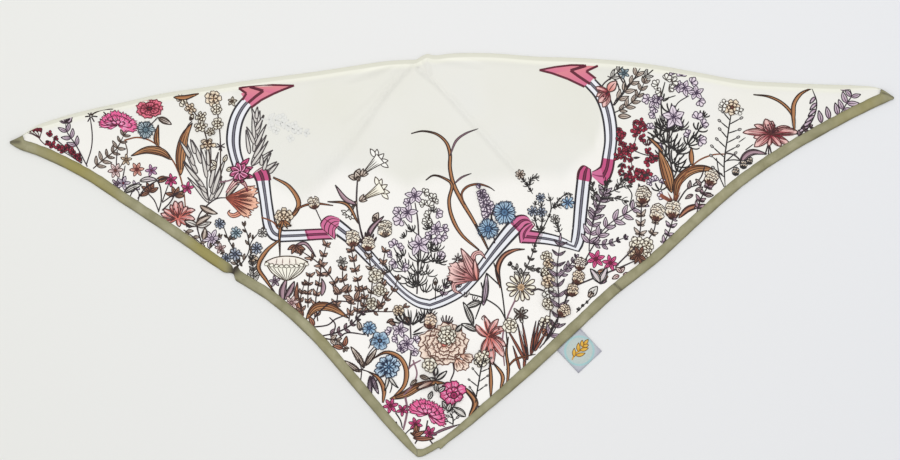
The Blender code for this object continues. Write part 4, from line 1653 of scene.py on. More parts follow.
def ghost_print(p, rng):
    """The print of the layer beneath, just showing through the silk."""
    sprig(p, [(-160, -64), (-142, -66), (-128, -74), (-114, -78)], "ghost", rng, 7, 9, 4, 50)
    cluster(p, [(-150, -72), (-145, -76), (-138, -62), (-126, -70), (-122, -76), (-130, -84)], 4, "ghost",
            rng)


def centre_left(p, rng):
    grass(p, [(-148, -124), (-132, -133), (-122, -148), (-125, -160), (-140, -176), (-141, -206)], 4.2,
          "brown")
    grass(p, [(-86, -153), (-106, -151), (-122, -156), (-134, -169)], 2.2, "brown", veins=0)
    stalk(p, [(-160, -165), (-148, -170), (-142, -178)], "brown", 1.3)
    for a in range(-160, 161, 64):
        p.petal((-137, -172), 90 + a * 0.6, 8, 3.4, a / 8, "tan", line="brown")
    frilled(p.at(-137, -165), 9.5, "tan", rng, ((1.0, 8, 46), (0.66, 6, 58), (0.36, 4, 90)), 0.05, 2)
    for a in (-140, -110, -70, -40):
        p.petal((-137, -168), a, 10, 2.6, 8, "brown", shape=lance_shape, lw=0.8)
    grass(p, [(-141, -188), (-155, -200), (-163, -216), (-155, -230), (-144, -246)], 4, "brown")
    clover(p.at(-106, -150, 96), 7, "cream", rng, "rust")
    stalk(p, [(-104, -157), (-98, -170)], "plum", 0.9)
    # the white bellflowers
    stalk(p, [(-52, -200), (-58, -178), (-62, -152), (-61, -122)], "slate", 1.5)
    bell(p.at(-56, -121, 44), 26, "white", rng)
    bell(p.at(-57, -147, 30), 26, "cream", rng)
    bell(p.at(-63, -150, 238), 16, "white", rng)
    for x, y, a in ((-62, -121, 60), (-64, -124, 170), (-61, -124, 110)):
        bud(p.at(x, y, a), 6, "greybrown")
    grass(p, [(-62, -152), (-74, -146), (-84, -132)], 4.5, "plum", leaf_shape, 1)
    grass(p, [(-52, -190), (-46, -176), (-34, -164)], 5.5, "plum", leaf_shape, 2)
    grass(p, [(-60, -172), (-72, -152), (-92, -149)], 2.6, "brown", leaf_shape, 1)
    needles(p.at(-53, -192, 90), 12, "plum", rng, 7, 150, 2.2)
    clover(p.at(-66, -187, 92), 9, "cream", rng, "rust")
    clover(p.at(-50, -192, 86), 8, "cream", rng, "rust")
    clover(p.at(-33, -177, 90), 9, "cream", rng, "greybrown", 6)
    whorled(p, [(-62, -268), (-60, -240), (-64, -215), (-68, -196)], "thyme", rng, 7, 8)
    whorled(p, [(-50, -262), (-46, -230), (-50, -202)], "greybrown", rng, 5, 7)
    whorled(p, [(-102, -272), (-104, -250), (-100, -228), (-98, -212), (-92, -190)], "thyme", rng, 8, 7.5)
    whorled(p, [(-84, -262), (-82, -240), (-92, -222), (-104, -210), (-122, -198)], "thyme", rng, 7, 8)
    whorled(p, [(-70, -272), (-68, -250), (-76, -230), (-76, -214)], "thyme", rng, 5, 8)
    whorled(p, [(-40, -262), (-34, -244), (-36, -222), (-32, -196)], "thyme", rng, 6, 7.5)
    whorled(p, [(-112, -258), (-112, -240), (-110, -222)], "thyme", rng, 4, 7)
    sprig(p, [(-62, -264), (-44, -262), (-26, -262), (-12, -258)], "thyme", rng, 5, 7, 3, 56, taper=0.2,
          both=False)
    sprig(p, [(-46, -262), (-34, -252), (-24, -240), (-20, -228)], "thyme", rng, 4, 7, 3, 48, taper=0.3)
    bud(p.at(-43, -166, 60), 6, "greybrown")
    frilled(p.at(-19, -261), 6, "tan", rng, ((1.0, 6, 60), (0.55, 4, 80)), 0.06, 3)
    for x, y, a in ((-14, -268, -20), (-24, -270, 200), (-22, -276, 150), (-12, -274, 40)):
        p.petal((x, y), a, 8, 3.2, 14, "thyme", 1)
    star(p.at(-77, -211), 6, "grey", rng, 6)
    grass(p, [(-128, -196), (-115, -192), (-104, -206)], 3, "plum", leaf_shape, 0)
    for a in (200, 235, 290, 330):
        p.blade((-124, -194), a, 10, 4, 12, leaf_shape, (dark("rust"), pale("rust")), dark("rust"), 1)
    # the broad cream bowl
    grass(p, [(-138, -252), (-138, -240), (-134, -228)], 7, "plum", leaf_shape, 2)
    grass(p, [(-136, -250), (-130, -240), (-126, -231)], 6, "plum", leaf_shape, 2)
    bowl(p.at(-134, -211), 22, "cream")
    grass(p, [(-118, -269), (-124, -250), (-123, -232)], 8, "rust", lance_shape, 3)
    sprig(p, [(-118, -266), (-120, -250), (-116, -234)], "thyme", rng, 4, 8, 3.4, 50)
    star(p.at(-129, -253), 8, "blush", rng, 6)
    star(p.at(-146, -231), 6, "mauve", rng, 5)
    grass(p, [(-114, -270), (-104, -258), (-88, -258), (-70, -269)], 8.5, "brown", leaf_shape, 3)
    for path in ([(-102, -288), (-84, -284), (-68, -276), (-54, -262), (-40, -262)],
                 [(-106, -278), (-92, -276), (-84, -270), (-74, -266)],
                 [(-102, -288), (-84, -291), (-72, -284), (-52, -286)],
                 [(-110, -276), (-100, -262), (-86, -252), (-68, -252)],
                 [(-88, -290), (-84, -276), (-90, -268)]):
        stalk(p, path, "plum", 1.2)
    sprig(p, [(-96, -287), (-80, -283), (-66, -274), (-56, -264)], "plum", rng, 6, 7.5, 3.2, 55)
    sprig(p, [(-92, -290), (-80, -293), (-74, -300)], "greybrown", rng, 4, 8, 4, 50)
    grass(p, [(-98, -246), (-96, -236), (-98, -228)], 4.5, "plum", leaf_shape, 0)
    for x, y, a, tint in ((-75, -298, 70, "rust"), (-76, -300, 160, "rust"), (-106, -277, 110, "rust"),
                          (-58, -282, 100, "greybrown"), (-78, -242, 40, "thyme"),
                          (-80, -244, 120, "thyme"), (-64, -250, 60, "thyme"), (-66, -250, 150, "thyme")):
        p.petal((x, y), a, 11, 4.6, 14, tint, 1)
    saw_leaf(p, (-54, -320), 118, 26, 7, "greybrown")
    saw_leaf(p, (-54, -318), 50, 22, 6.4, "greybrown")
    saw_leaf(p, (-58, -324), 150, 20, 6.4, "greybrown", -10)
    frilled(p.at(-42, -225), 8, "cream", rng, SEVEN_WIDE, 0.06, 3)
    frilled(p.at(-38, -240), 7, "cream", rng, SEVEN_WIDE, 0.06, 3)
    frilled(p.at(-47, -254), 6.5, "cream", rng, ((1.0, 6, 60), (0.6, 4, 80)), 0.06, 3)
    whorled(p, [(-56, -262), (-54, -248), (-56, -236)], "thyme", rng, 3, 7)


def ribbon_middle(p):
    ribbon(p, [(-79, -167), (-66, -178), (-52, -193), (-40, -207), (-28, -220), (-14, -236), (0, -246),
               (13, -249.5)], [(-83, -184), (-70, -194), (-57, -207), (-46, -218), (-33, -231),
                               (-15, -248), (0, -258), (14, -261.5)])
    ribbon(p, [(13, -249.5), (28, -243), (42, -235), (56, -221), (66, -208), (78, -190), (90, -174),
               (98, -166)], [(14, -261.5), (30, -256), (48, -246), (63, -231), (76, -215), (90, -199),
                             (104, -184), (110, -178)], ((0.0, 0.96, "band"), (0.96, 1.0, "pink")))
    # the turn, the short run and the corner
    ribbon(p, [(97, -167), (102, -163.5), (107, -162.2), (113, -163.5), (118, -170)],
           [(109, -179), (111, -175), (113, -173), (116, -172), (119, -172)], ALL_PINK)
    ribbon(p, [(118, -170), (110, -174), (104.5, -181), (105.5, -191.5)],
           [(120, -174), (118, -178), (115.5, -184), (116, -192.5)], ALL_PINK)
    p.stroke([(118, -169), (121, -173), (117, -178)], MAROON, 1.2)
    ribbon(p, [(117, -178), (134, -181), (148, -185), (158, -190)],
           [(107, -192), (130, -193), (150, -196.5), (167, -201)],
           ((0.0, 0.3, "pink"), (0.3, 1.0, "band")))
    ribbon(p, [(158, -190), (160, -170), (162, -145), (164, -126)],
           [(167, -201), (172, -191), (175, -165), (179, -128)])
    ribbon(p, [(164, -126), (166, -117), (171, -112)], [(179, -129), (180, -124), (179, -116)],
           ALL_MAGENTA)
    p.stroke([(164, -126), (166, -117), (171, -112), (179, -116)], MAROON, 1.1)


def ribbon_right(p):
    ribbon(p, [(171, -29), (183, -43), (190, -62), (192.5, -85), (190, -104)],
           [(184, -23), (197, -38), (204, -58), (206.5, -80), (204, -106)])
    ribbon(p, [(190, -104), (188, -113), (182, -121)], [(204, -106), (202, -118), (197, -131)],
           ALL_MAGENTA)
    p.stroke([(182, -121), (188, -130), (194, -132), (199, -127)], MAROON, 1.2)
    ribbon(p, [(180, -118), (184, -116), (189, -112)], [(180, -123), (187, -129), (193, -132)],
           ALL_PINK, TUCKED_STRIPES)
    panel(p, [(185.8, -9.7), (174, -14.9), (182.9, -21)], [(174, -9.3), (157.9, -14.1), (177, -27)],
          (CORAL, PINK))
    panel(p, [(174, -9.3), (165, -11.5), (157.9, -14.1), (166, -20), (176.5, -27)],
          [(126, -13.7), (139.2, -17.1), (155.4, -23), (163, -26), (172.3, -30.3)], (CORAL, PINK))
    panel(p, [(126, -13.7), (158.3, -8.7), (174, -9.3)], [(139.2, -17.1), (157.9, -14.1), (174, -9.3)],
          (PINK, CORAL))
    # the arrowhead
    edges(p, (
        ([(186, -9.4), (174, -14.9), (184, -22.5)], 2.4),
        ([(174, -9.3), (157.9, -14.1), (166, -20), (178, -28)], 2.9),
        ([(126, -13.7), (142, -10.6), (158.3, -8.7), (172, -8.9)], 1.9),
        ([(126, -13.7), (139.2, -17.1), (155.4, -23), (172.3, -31)], 2.3),
    ))


def centre_middle(p, rng):
    grass(p, [(73, -198), (60, -172), (47, -150), (38, -132), (34, -115), (34, -100), (30, -88),
              (20, -79.5), (6, -76.5), (-6, -79)], 3.6, "brown", veins=1)
    grass(p, [(34, -102), (40, -87), (50, -79), (63, -74)], 2.0, "plum", veins=0)
    grass(p, [(64, -199), (46, -183), (36, -165), (33, -148), (36, -132), (28, -125), (17, -122),
              (9, -127)], 3.2, "brown", veins=1)
    grass(p, [(38, -131), (46, -124), (56, -120)], 1.6, "plum", veins=0)
    grass(p, [(49, -152), (46, -141), (52, -133.5), (63, -131), (74, -134), (80, -138)], 2.2, "brown",
          veins=0)
    # lilac spires
    stalk(p, [(0, -244), (1, -220), (2, -196), (1, -170), (-2, -150)], "slate", 1.3)
    stalk(p, [(14, -202), (15, -180), (12, -156)], "slate", 1.1)
    stalk(p, [(-12, -222), (-18, -208), (-24, -196)], "slate", 1.1)
    stalk(p, [(2, -184), (-8, -176), (-14, -168)], "slate", 0.9)
    for x, y, a, r, n in ((0, -236, 90, 13, 13), (-12, -220, 110, 12, 11), (4, -212, 80, 13, 13),
                          (18, -212, 70, 11, 11), (2, -200, 90, 14, 15), (-20, -212, 120, 8, 7),
                          (2, -225, 90, 14, 13), (10, -225, 60, 10, 7), (-6, -230, 130, 10, 7),
                          (15, -192, 70, 8, 7)):
        needles(p.at(x, y, a), r, "slate", rng, n * 0.6, 150, 1.3)
    for x, y, r in ((-2, -143, 9.5), (-10, -160, 10), (2, -193, 12), (20, -177, 9)):
        phlox(p.at(x, y), r, "lilac", rng)
    for x, y, a, r in ((-16, -167, 200, 9), (-18, -160, 150, 7), (7, -140, 20, 6), (12, -154, 60, 7),
                       (20, -161, -10, 7), (13, -163, 150, 6), (27, -177, 10, 6), (19, -186, -60, 8),
                       (-23, -194, 120, 7), (-19, -197, 30, 6), (-26, -203, 190, 5), (23, -206, 40, 7),
                       (-22, -212, 210, 7), (-14, -216, -20, 6), (18, -150, 60, 5), (-8, -150, 160, 6),
                       (8, -152, 150, 6), (16, -146, 90, 6), (16, -170, 200, 6), (11, -170, 160, 6),
                       (26, -184, -40, 6), (14, -184, 170, 6)):
        lips(p.at(x, y, a), r, "lilac" if x < 4 or x > 19 or y < -175 else "white", rng)
    for x, y, a, r in ((14, -200, 60, 9), (20, -200, 80, 10), (12, -178, 110, 6), (16, -160, 70, 6),
                       (-14, -206, 120, 8), (22, -212, 40, 9), (-28, -222, 120, 9), (-4, -180, 120, 8),
                       (-12, -186, 130, 6), (8, -268, 90, 9), (14, -266, 70, 8)):
        needles(p.at(x, y, a), r * 0.9, "slate", rng, 5, 120, 1.25)
    stalk(p, [(19, -250), (19, -236)], "slate", 0.8)
    bud(p.at(19, -232, 90), 4.5, "grey")
    sprig(p, [(26, -247), (29, -238), (32, -230)], "mauve", rng, 3, 6, 2.8, 50)
    for x, y, a, r in ((8, -243, 80, 10), (20, -242, 70, 9), (28, -236, 60, 8), (-2, -238, 110, 10),
                       (34, -232, 50, 7)):
        needles(p.at(x, y, a), r * 0.9, "slate", rng, 5, 110, 1.2)
    # the coral lily seen from the side
    for x, y, a, r in ((44, -238, 110, 8), (36, -234, 120, 7), (50, -248, 90, 8), (58, -252, 60, 7)):
        needles(p.at(x, y, a), r * 0.8, "plum", rng, 4, 90, 0.9)
    flower = p.at(62, -230)
    trumpet(flower, ((172, 26, 30), (152, 30, 32), (134, 20, 27)),
            [[(-3, 8), (-4, 25), (3, 28.5), (9, 22)], [(-10, -1), (-23, -3), (-23, -10.5), (-16, -13.5)]],
            "pink", rng)
    flower.petal((0, 0), 114, 37, 10, 6, "pink", 3)
    flower.petal((0, 0), 100, 22, 6, -6, "coral", 2, tip="pink", line="pink")
    needles(p.at(42, -208, 90), 5, "plum", rng, 7, 260)
    # lavender and blue cornflowers
    spike(p.at(76, -163, 113), 30, 7.5, "lilac", rng, 6, "plum")
    stalk(p, [(80, -192), (78, -178), (76, -164)], "plum", 1.1)
    stalk(p, [(78, -176), (77, -162), (84, -151), (97, -149)], "slate", 1.1)
    cornflower(p.at(90, -160), 12, "blue", rng, 13)
    cornflower(p.at(73, -177), 10.5, "blue", rng, 12)
    stalk(p, [(60, -172), (68, -186), (73, -196)], "slate", 0.9)


def centre_right(p, rng):
    # grey sprays and small blue flowers over the short run
    for path in ([(118, -204), (124, -186), (132, -172), (138, -156), (135, -140)],
                 [(138, -157), (147, -146), (156, -140), (158, -144)],
                 [(126, -182), (121, -164), (122, -148)], [(127, -182), (129, -166), (128, -150)],
                 [(147, -182), (144, -172), (142, -166)], [(138, -156), (148, -152), (154, -150)],
                 [(119, -141), (112, -130), (105, -122)], [(116, -134), (117, -126), (124, -124)]):
        spiky(p, path, "slate", rng, 4, 4.2, 4, 130)
    for x, y, r, tint in ((127, -145, 5, "navy"), (119, -159, 5.5, "navy"), (128, -160, 5.5, "navy"),
                          (142, -167, 4.5, "grey"), (155, -150, 6.5, "blue"), (106, -121, 5, "greybrown")):
        cornflower(p.at(x, y), r, tint, rng, 7)
    grass(p, [(86, -238), (83, -218), (89, -205), (100, -199), (111, -198)], 5, "rust", veins=2)
    for path in ([(79, -212), (86, -234), (90, -262), (93, -298)], [(72, -223), (86, -236)],
                 [(66, -232), (68, -246), (60, -270)], [(54, -244), (68, -248), (84, -258), (92, -272)]):
        stalk(p, path, "slate", 1.2)
    for x, y, a, reach, tint in ((68, -256, 78, 34, "mauve"), (66, -252, 195, 18, "grey"),
                                 (58, -276, 108, 26, "grey"), (62, -282, 150, 18, "grey")):
        p.petal((x, y), a, reach, 6, 12, tint, 3, line="slate")
    daisy(p.at(107, -237), 15.5, "cream", rng, 13, "tan")
    stalk(p, [(101, -250), (93, -268), (88, -290), (90, -318)], "plum", 1.4)
    sprig(p, [(107, -228), (114, -214), (120, -200)], "grey", rng, 4, 8, 2.8, 55)
    sprig(p, [(146, -228), (156, -216), (164, -206)], "mauve", rng, 5, 8, 3.2, 50)
    sprig(p, [(114, -219), (122, -218), (128, -223)], "grey", rng, 3, 7, 2.8, 40)
    sprig(p, [(107, -226), (102, -218), (97, -214)], "grey", rng, 3, 8, 3.2, 40)
    stalk(p, [(117, -242), (124, -239), (131, -241)], "slate", 1.6)
    # the tan spire
    stalk(p, [(134, -290), (137, -262), (136, -235), (133, -202)], "greybrown", 1.1)
    for x, y, r, tint in ((133, -205, 5.5, "cream"), (136, -213, 6, "tan"), (133, -221, 5.5, "cream"),
                          (135, -231, 7, "tan"), (136, -244, 7, "white"), (135, -254, 6.5, "cream"),
                          (133, -274, 7, "cream"), (133, -283, 4.5, "rust")):
        frilled(p.at(x, y, rng.uniform(0, 360)), r, tint, rng, ((1.0, 6, 62), (0.58, 4, 84)), 0.05, 2)
    # purple ferns
    sprig(p, [(126, -300), (143, -278), (146, -250), (144, -222), (147, -190)], "mauve", rng, 10, 13, 4,
          62, taper=0.25, shape=lance_shape)
    sprig(p, [(135, -290), (149, -260), (158, -236), (172, -212)], "plum", rng, 3, 8, 3, 45, taper=0.3)
    stalk(p, [(130, -296), (149, -260), (158, -238), (172, -211), (188, -186), (216, -163)], "slate", 1.1)
    sprig(p, [(177, -200), (178, -184), (184, -162), (193, -138)], "mauve", rng, 7, 12, 4.4, 58, taper=0.2)
    sprig(p, [(180, -192), (198, -172), (217, -160), (232, -150)], "mauve", rng, 6, 12, 4.8, 52, taper=0.2)
    sprig(p, [(178, -192), (194, -193), (214, -186)], "mauve", rng, 5, 8, 3.4, 45)
    stalk(p, [(162, -236), (186, -226), (206, -218), (224, -210)], "slate", 1.4)
    for x, y, r, tint in ((168, -213, 7, "white"), (166, -227, 7.5, "tan"), (160, -240, 7, "tan"),
                          (151, -261, 7.5, "tan")):
        clover(p.at(x, y, rng.uniform(40, 110)), r, tint, rng, "rust", 4)
    star(p.at(184, -208), 9.5, "magenta", rng, 6, "crimson")
    star(p.at(199, -212), 8.5, "magenta", rng, 6, "crimson")
    clover(p.at(190, -226, 80), 8, "rust", rng, "mauve", 3)
    for a in (60, 120):
        p.petal((188, -232), a, 17, 7, 10, "grey", 2, tip="mauve", line="slate")
    berries(p, [(166, -260), (170, -256), (175, -252)], 1.8, "grey")
    bud(p.at(180, -243, 50), 8, "grey")
    stalk(p, [(164, -263), (172, -255), (180, -247)], "slate", 0.8)
    # reeds
    for x, y, a, reach in ((113, -312, 108, 38), (114, -312, 96, 42), (117, -307, 84, 36),
                           (120, -300, 68, 30), (106, -322, 104, 26), (110, -320, 84, 22),
                           (112, -314, 118, 42), (118, -306, 76, 36), (121, -303, 60, 26)):
        p.blade((x, y), a, reach, 2.9, rng.uniform(-10, 10), lance_shape, (deep("rust"), deep("rust")),
                dark("plum"), 0, lw=0.9)
    for x, y, a, reach in ((119, -304, 84, 26), (114, -310, 100, 30)):
        p.blade((x, y), a, reach, 1.9, 8, lance_shape, (dark("slate"), dark("plum")))
    grass(p, [(92, -322), (100, -312), (112, -308), (122, -306)], 2.0, "brown", veins=0)
    grass(p, [(92, -345), (94, -322), (92, -304), (94, -288)], 2.6, "brown", veins=0)
    curled(p.at(74, -288), ((104, 22, 5.5, 50), (136, 19, 6, -46), (62, 21, 6.5, -30), (28, 20, 7, -40),
                            (-30, 20, 7, -30), (-54, 26, 8.5, -24), (-82, 29, 9, 6), (-110, 20, 6.5, 20)),
           "pink", ((10, 12), (30, 13), (50, 12), (-15, 10)), "coral", 0.13, 0.4)
    p.stroke([(73, -270), (69, -266), (66.5, -269), (68, -271)], dark("pink"), 1.2)
    lily(p.at(107, -265, 30), 9, "white", rng, heart="rust")
    frilled(p.at(96, -276), 8, "cream", rng, SEVEN_CLOSE, 0.05, 2)
    frilled(p.at(66, -312), 8, "cream", rng, SEVEN_CLOSE, 0.05, 2)


def lower(p, rng):
    stalk(p, [(-44, -326), (-56, -322), (-64, -322)], "plum", 1.0)
    stalk(p, [(-56, -322), (-50, -306), (-40, -294)], "plum", 0.9)
    stalk(p, [(-58, -334), (-57, -322), (-60, -310)], "plum", 1.0)
    needles(p.at(-50, -280, 90), 7.5, "navy", rng, 9, 360, 1.6)
    cornflower(p.at(-49, -279), 7.5, "blue", rng, 10)
    frilled(p.at(-38, -292), 9.5, "blue", rng, ((1.0, 6, 66),), 0.05, 2, "navy")
    frilled(p.at(-30, -319, 20, 1.0, 0.85), 13.5, "blue", rng, ((1.0, 10, 42),), 0.06, 2, "blue", SKY)
    cornflower(p.at(-29, -319), 6.5, "blue", rng, 8)
    stalk(p, [(-33, -327), (-40, -331), (-44, -337)], "plum", 1.1)
    stalk(p, [(-44, -284), (-48, -296), (-50, -300)], "plum", 0.8)
    # lilac phlox on its dark foliage
    needles(p.at(-6, -277, 96), 16, "slate", rng, 8, 130, 1.5)
    needles(p.at(2, -274, 60), 11, "slate", rng, 4, 90, 1.4)
    needles(p.at(-14, -274, 130), 10, "slate", rng, 4, 90, 1.4)
    stalk(p, [(-8, -320), (-6, -300), (-7, -272)], "slate", 1.3)
    stalk(p, [(-24, -350), (-14, -338), (-8, -320), (4, -312)], "plum", 1.5)
    for a, x, y, reach in ((10, -5, -286, 15), (30, -4, -284, 15), (-10, -4, -288, 14),
                           (150, -27, -284, 8)):
        p.blade((x, y), a, reach, 2.2, 8, lance_shape, (dark("slate"), deep("slate")))
    for x, y, r in ((-18, -281, 9), (-10, -295, 10), (-16, -300, 6)):
        phlox(p.at(x, y), r, "lilac", rng)
    for x, y, a in ((-27, -283, 150), (-4, -303, -30), (-20, -290, 190), (-2, -292, 20)):
        lips(p.at(x, y, a), 6, "lilac", rng)
    needles(p.at(5, -303, 25), 9, "slate", rng, 5, 100, 1.5)
    # peach peony and its buds
    needles(p.at(30, -276, 80), 9, "plum", rng, 6, 110, 1.5)
    for a, x, y in ((-40, 40, -310), (-65, 38, -308), (-20, 42, -306)):
        p.fan((x, y), a, 44, 16, (deep("peach"), pale("peach")), dark("peach"), 0.05, 3, 4)
    peony(p.at(28, -296, 10, 1.0, 0.88), 25, "peach", rng)
    frilled(p.at(31, -287), 10, "cream", rng, ((1.0, 9, 46), (0.7, 7, 56), (0.4, 4, 90)), 0.06, 2)
    clover(p.at(14, -272, 80), 8.5, "peach", rng, "rust", 3)
    frilled(p.at(13, -317), 7.5, "cream", rng, ((1.0, 6, 66), (0.62, 4, 84)), 0.04, 2)
    for x, y, a, reach in ((20, -332, 34, 14), (18, -328, 70, 9), (20, -334, 150, 8), (40, -282, 40, 9)):
        p.petal((x, y), a, reach, 5, 10, "grey", 2, line="slate")
    stalk(p, [(18, -324), (19, -334), (18, -342)], "plum", 1.1)
    stalk(p, [(37, -314), (38, -324), (34, -334)], "plum", 1.2)
    # brown blades
    grass(p, [(-24, -350), (-13, -338), (-11, -322), (-18, -309), (-32, -304), (-46, -311)], 4.6, "brown",
          veins=1)
    grass(p, [(-35, -356), (-34, -342), (-40, -330), (-50, -324)], 4.2, "brown", veins=1)
    grass(p, [(-28, -352), (-12, -347), (2, -339), (18, -335), (30, -336)], 7.5, "brown", leaf_shape, 3)
    p.petal((16, -334), 200, 18, 6, 10, "rust", 2, tip="greybrown")
    for x, y, a, reach in ((-48, -328, 266, 24), (-46, -328, 284, 20)):
        saw_leaf(p, (x, y), a, reach, 5.4, "mauve")
    stalk(p, [(-26, -332), (-26, -340), (-28, -346)], "grey", 1.0)
    p.petal((-28, -330), 300, 14, 3.4, 20, "grey", shape=lance_shape)
    p.petal((-30, -330), 262, 14, 3.4, -10, "grey", shape=lance_shape)
    stalk(p, [(-4, -312), (0, -326), (-5, -338), (-14, -348)], "plum", 1.3)
    p.petal((3, -328), -20, 10, 4, 12, "greybrown", 1)
    p.petal((0, -332), 215, 9, 3.6, 12, "greybrown", 1)
    # magenta peonies and stars
    grass(p, [(54, -370), (60, -356), (52, -344), (44, -339)], 6, "brown", veins=2)
    stalk(p, [(-12, -350), (-10, -364), (-14, -384)], "plum", 1.8)
    stalk(p, [(11, -374), (9, -384), (6, -388)], "plum", 1.2)
    dianthus(p.at(13, -364, -24, 1.0, 0.72), 20, "magenta", rng)
    frilled(p.at(37, -345, 20, 1.0, 0.9), 13.5, "magenta", rng, ((1.0, 6, 70), (0.5, 4, 100)), 0.05, 3,
            streak=STREAK)
    p.at(38, -348).disc(0, 0, 3.4, (dark("crimson"), deep("magenta")), dark("crimson"))
    star(p.at(-27, -359), 8, "magenta", rng, 6, "crimson")
    star(p.at(-15, -363.5), 6.5, "magenta", rng, 5, "crimson")
    star(p.at(-1.5, -378), 7.4, "magenta", rng, 6, "crimson")
    star(p.at(13, -387), 7.6, "magenta", rng, 6, "crimson")
    stalk(p, [(-12, -388), (-8, -384), (-4, -382)], "plum", 1.0)
    stalk(p, [(-22, -366), (-17, -374), (-15, -382)], "grey", 1.2)
    p.blade((-21, -375), 250, 6, 3, 0, leaf_shape, (dark("plum"), dark("plum")))
    stalk(p, [(-2, -398), (2, -390), (0, -380)], "plum", 1.2)
    stalk(p, [(16, -398), (12, -392), (13, -388)], "plum", 1.2)
    p.petal((4, -392), 150, 12, 3.6, 10, "brown", 1)
    # rust leaves at the apex
    for x, y, a, reach in ((-4, -389, 46, 11), (-4, -390, 16, 13), (-4, -392, -8, 22), (-2, -386, 74, 8)):
        p.petal((x, y), a, reach, 4.2, 14, "rust", 1)
    grass(p, [(14, -390), (26, -384), (44, -378)], 2.4, "plum", veins=0)
    p.petal((50, -370), 140, 17, 7, 12, "grey", 2, line="slate")
    for x, y, a in ((30, -362, 110), (31, -364, 60), (20, -344, 90), (22, -344, 30), (12, -352, 60)):
        p.petal((x, y), a, 9, 4.4, 12, "grey", 1, line="slate")
    stalk(p, [(31, -366), (36, -362), (40, -356)], "slate", 1.1)
    pods(p, [(37, -380), (37, -372), (34, -366)], "slate", rng, 4, 5, 1.6)
    pods(p, [(60, -356), (63, -338), (67, -316), (72, -298)], "slate", rng, 10, 10, 1.2)
    cluster(p, [(64, -308), (70, -306)], 4.5, "cream", rng)
    grass(p, [(76, -350), (76, -330), (75, -312)], 3.4, "brown", veins=1)
    grass(p, [(86, -342), (88, -328), (78, -314)], 3.4, "brown", veins=1)
    stalk(p, [(60, -361), (66, -359)], "slate", 1.4)


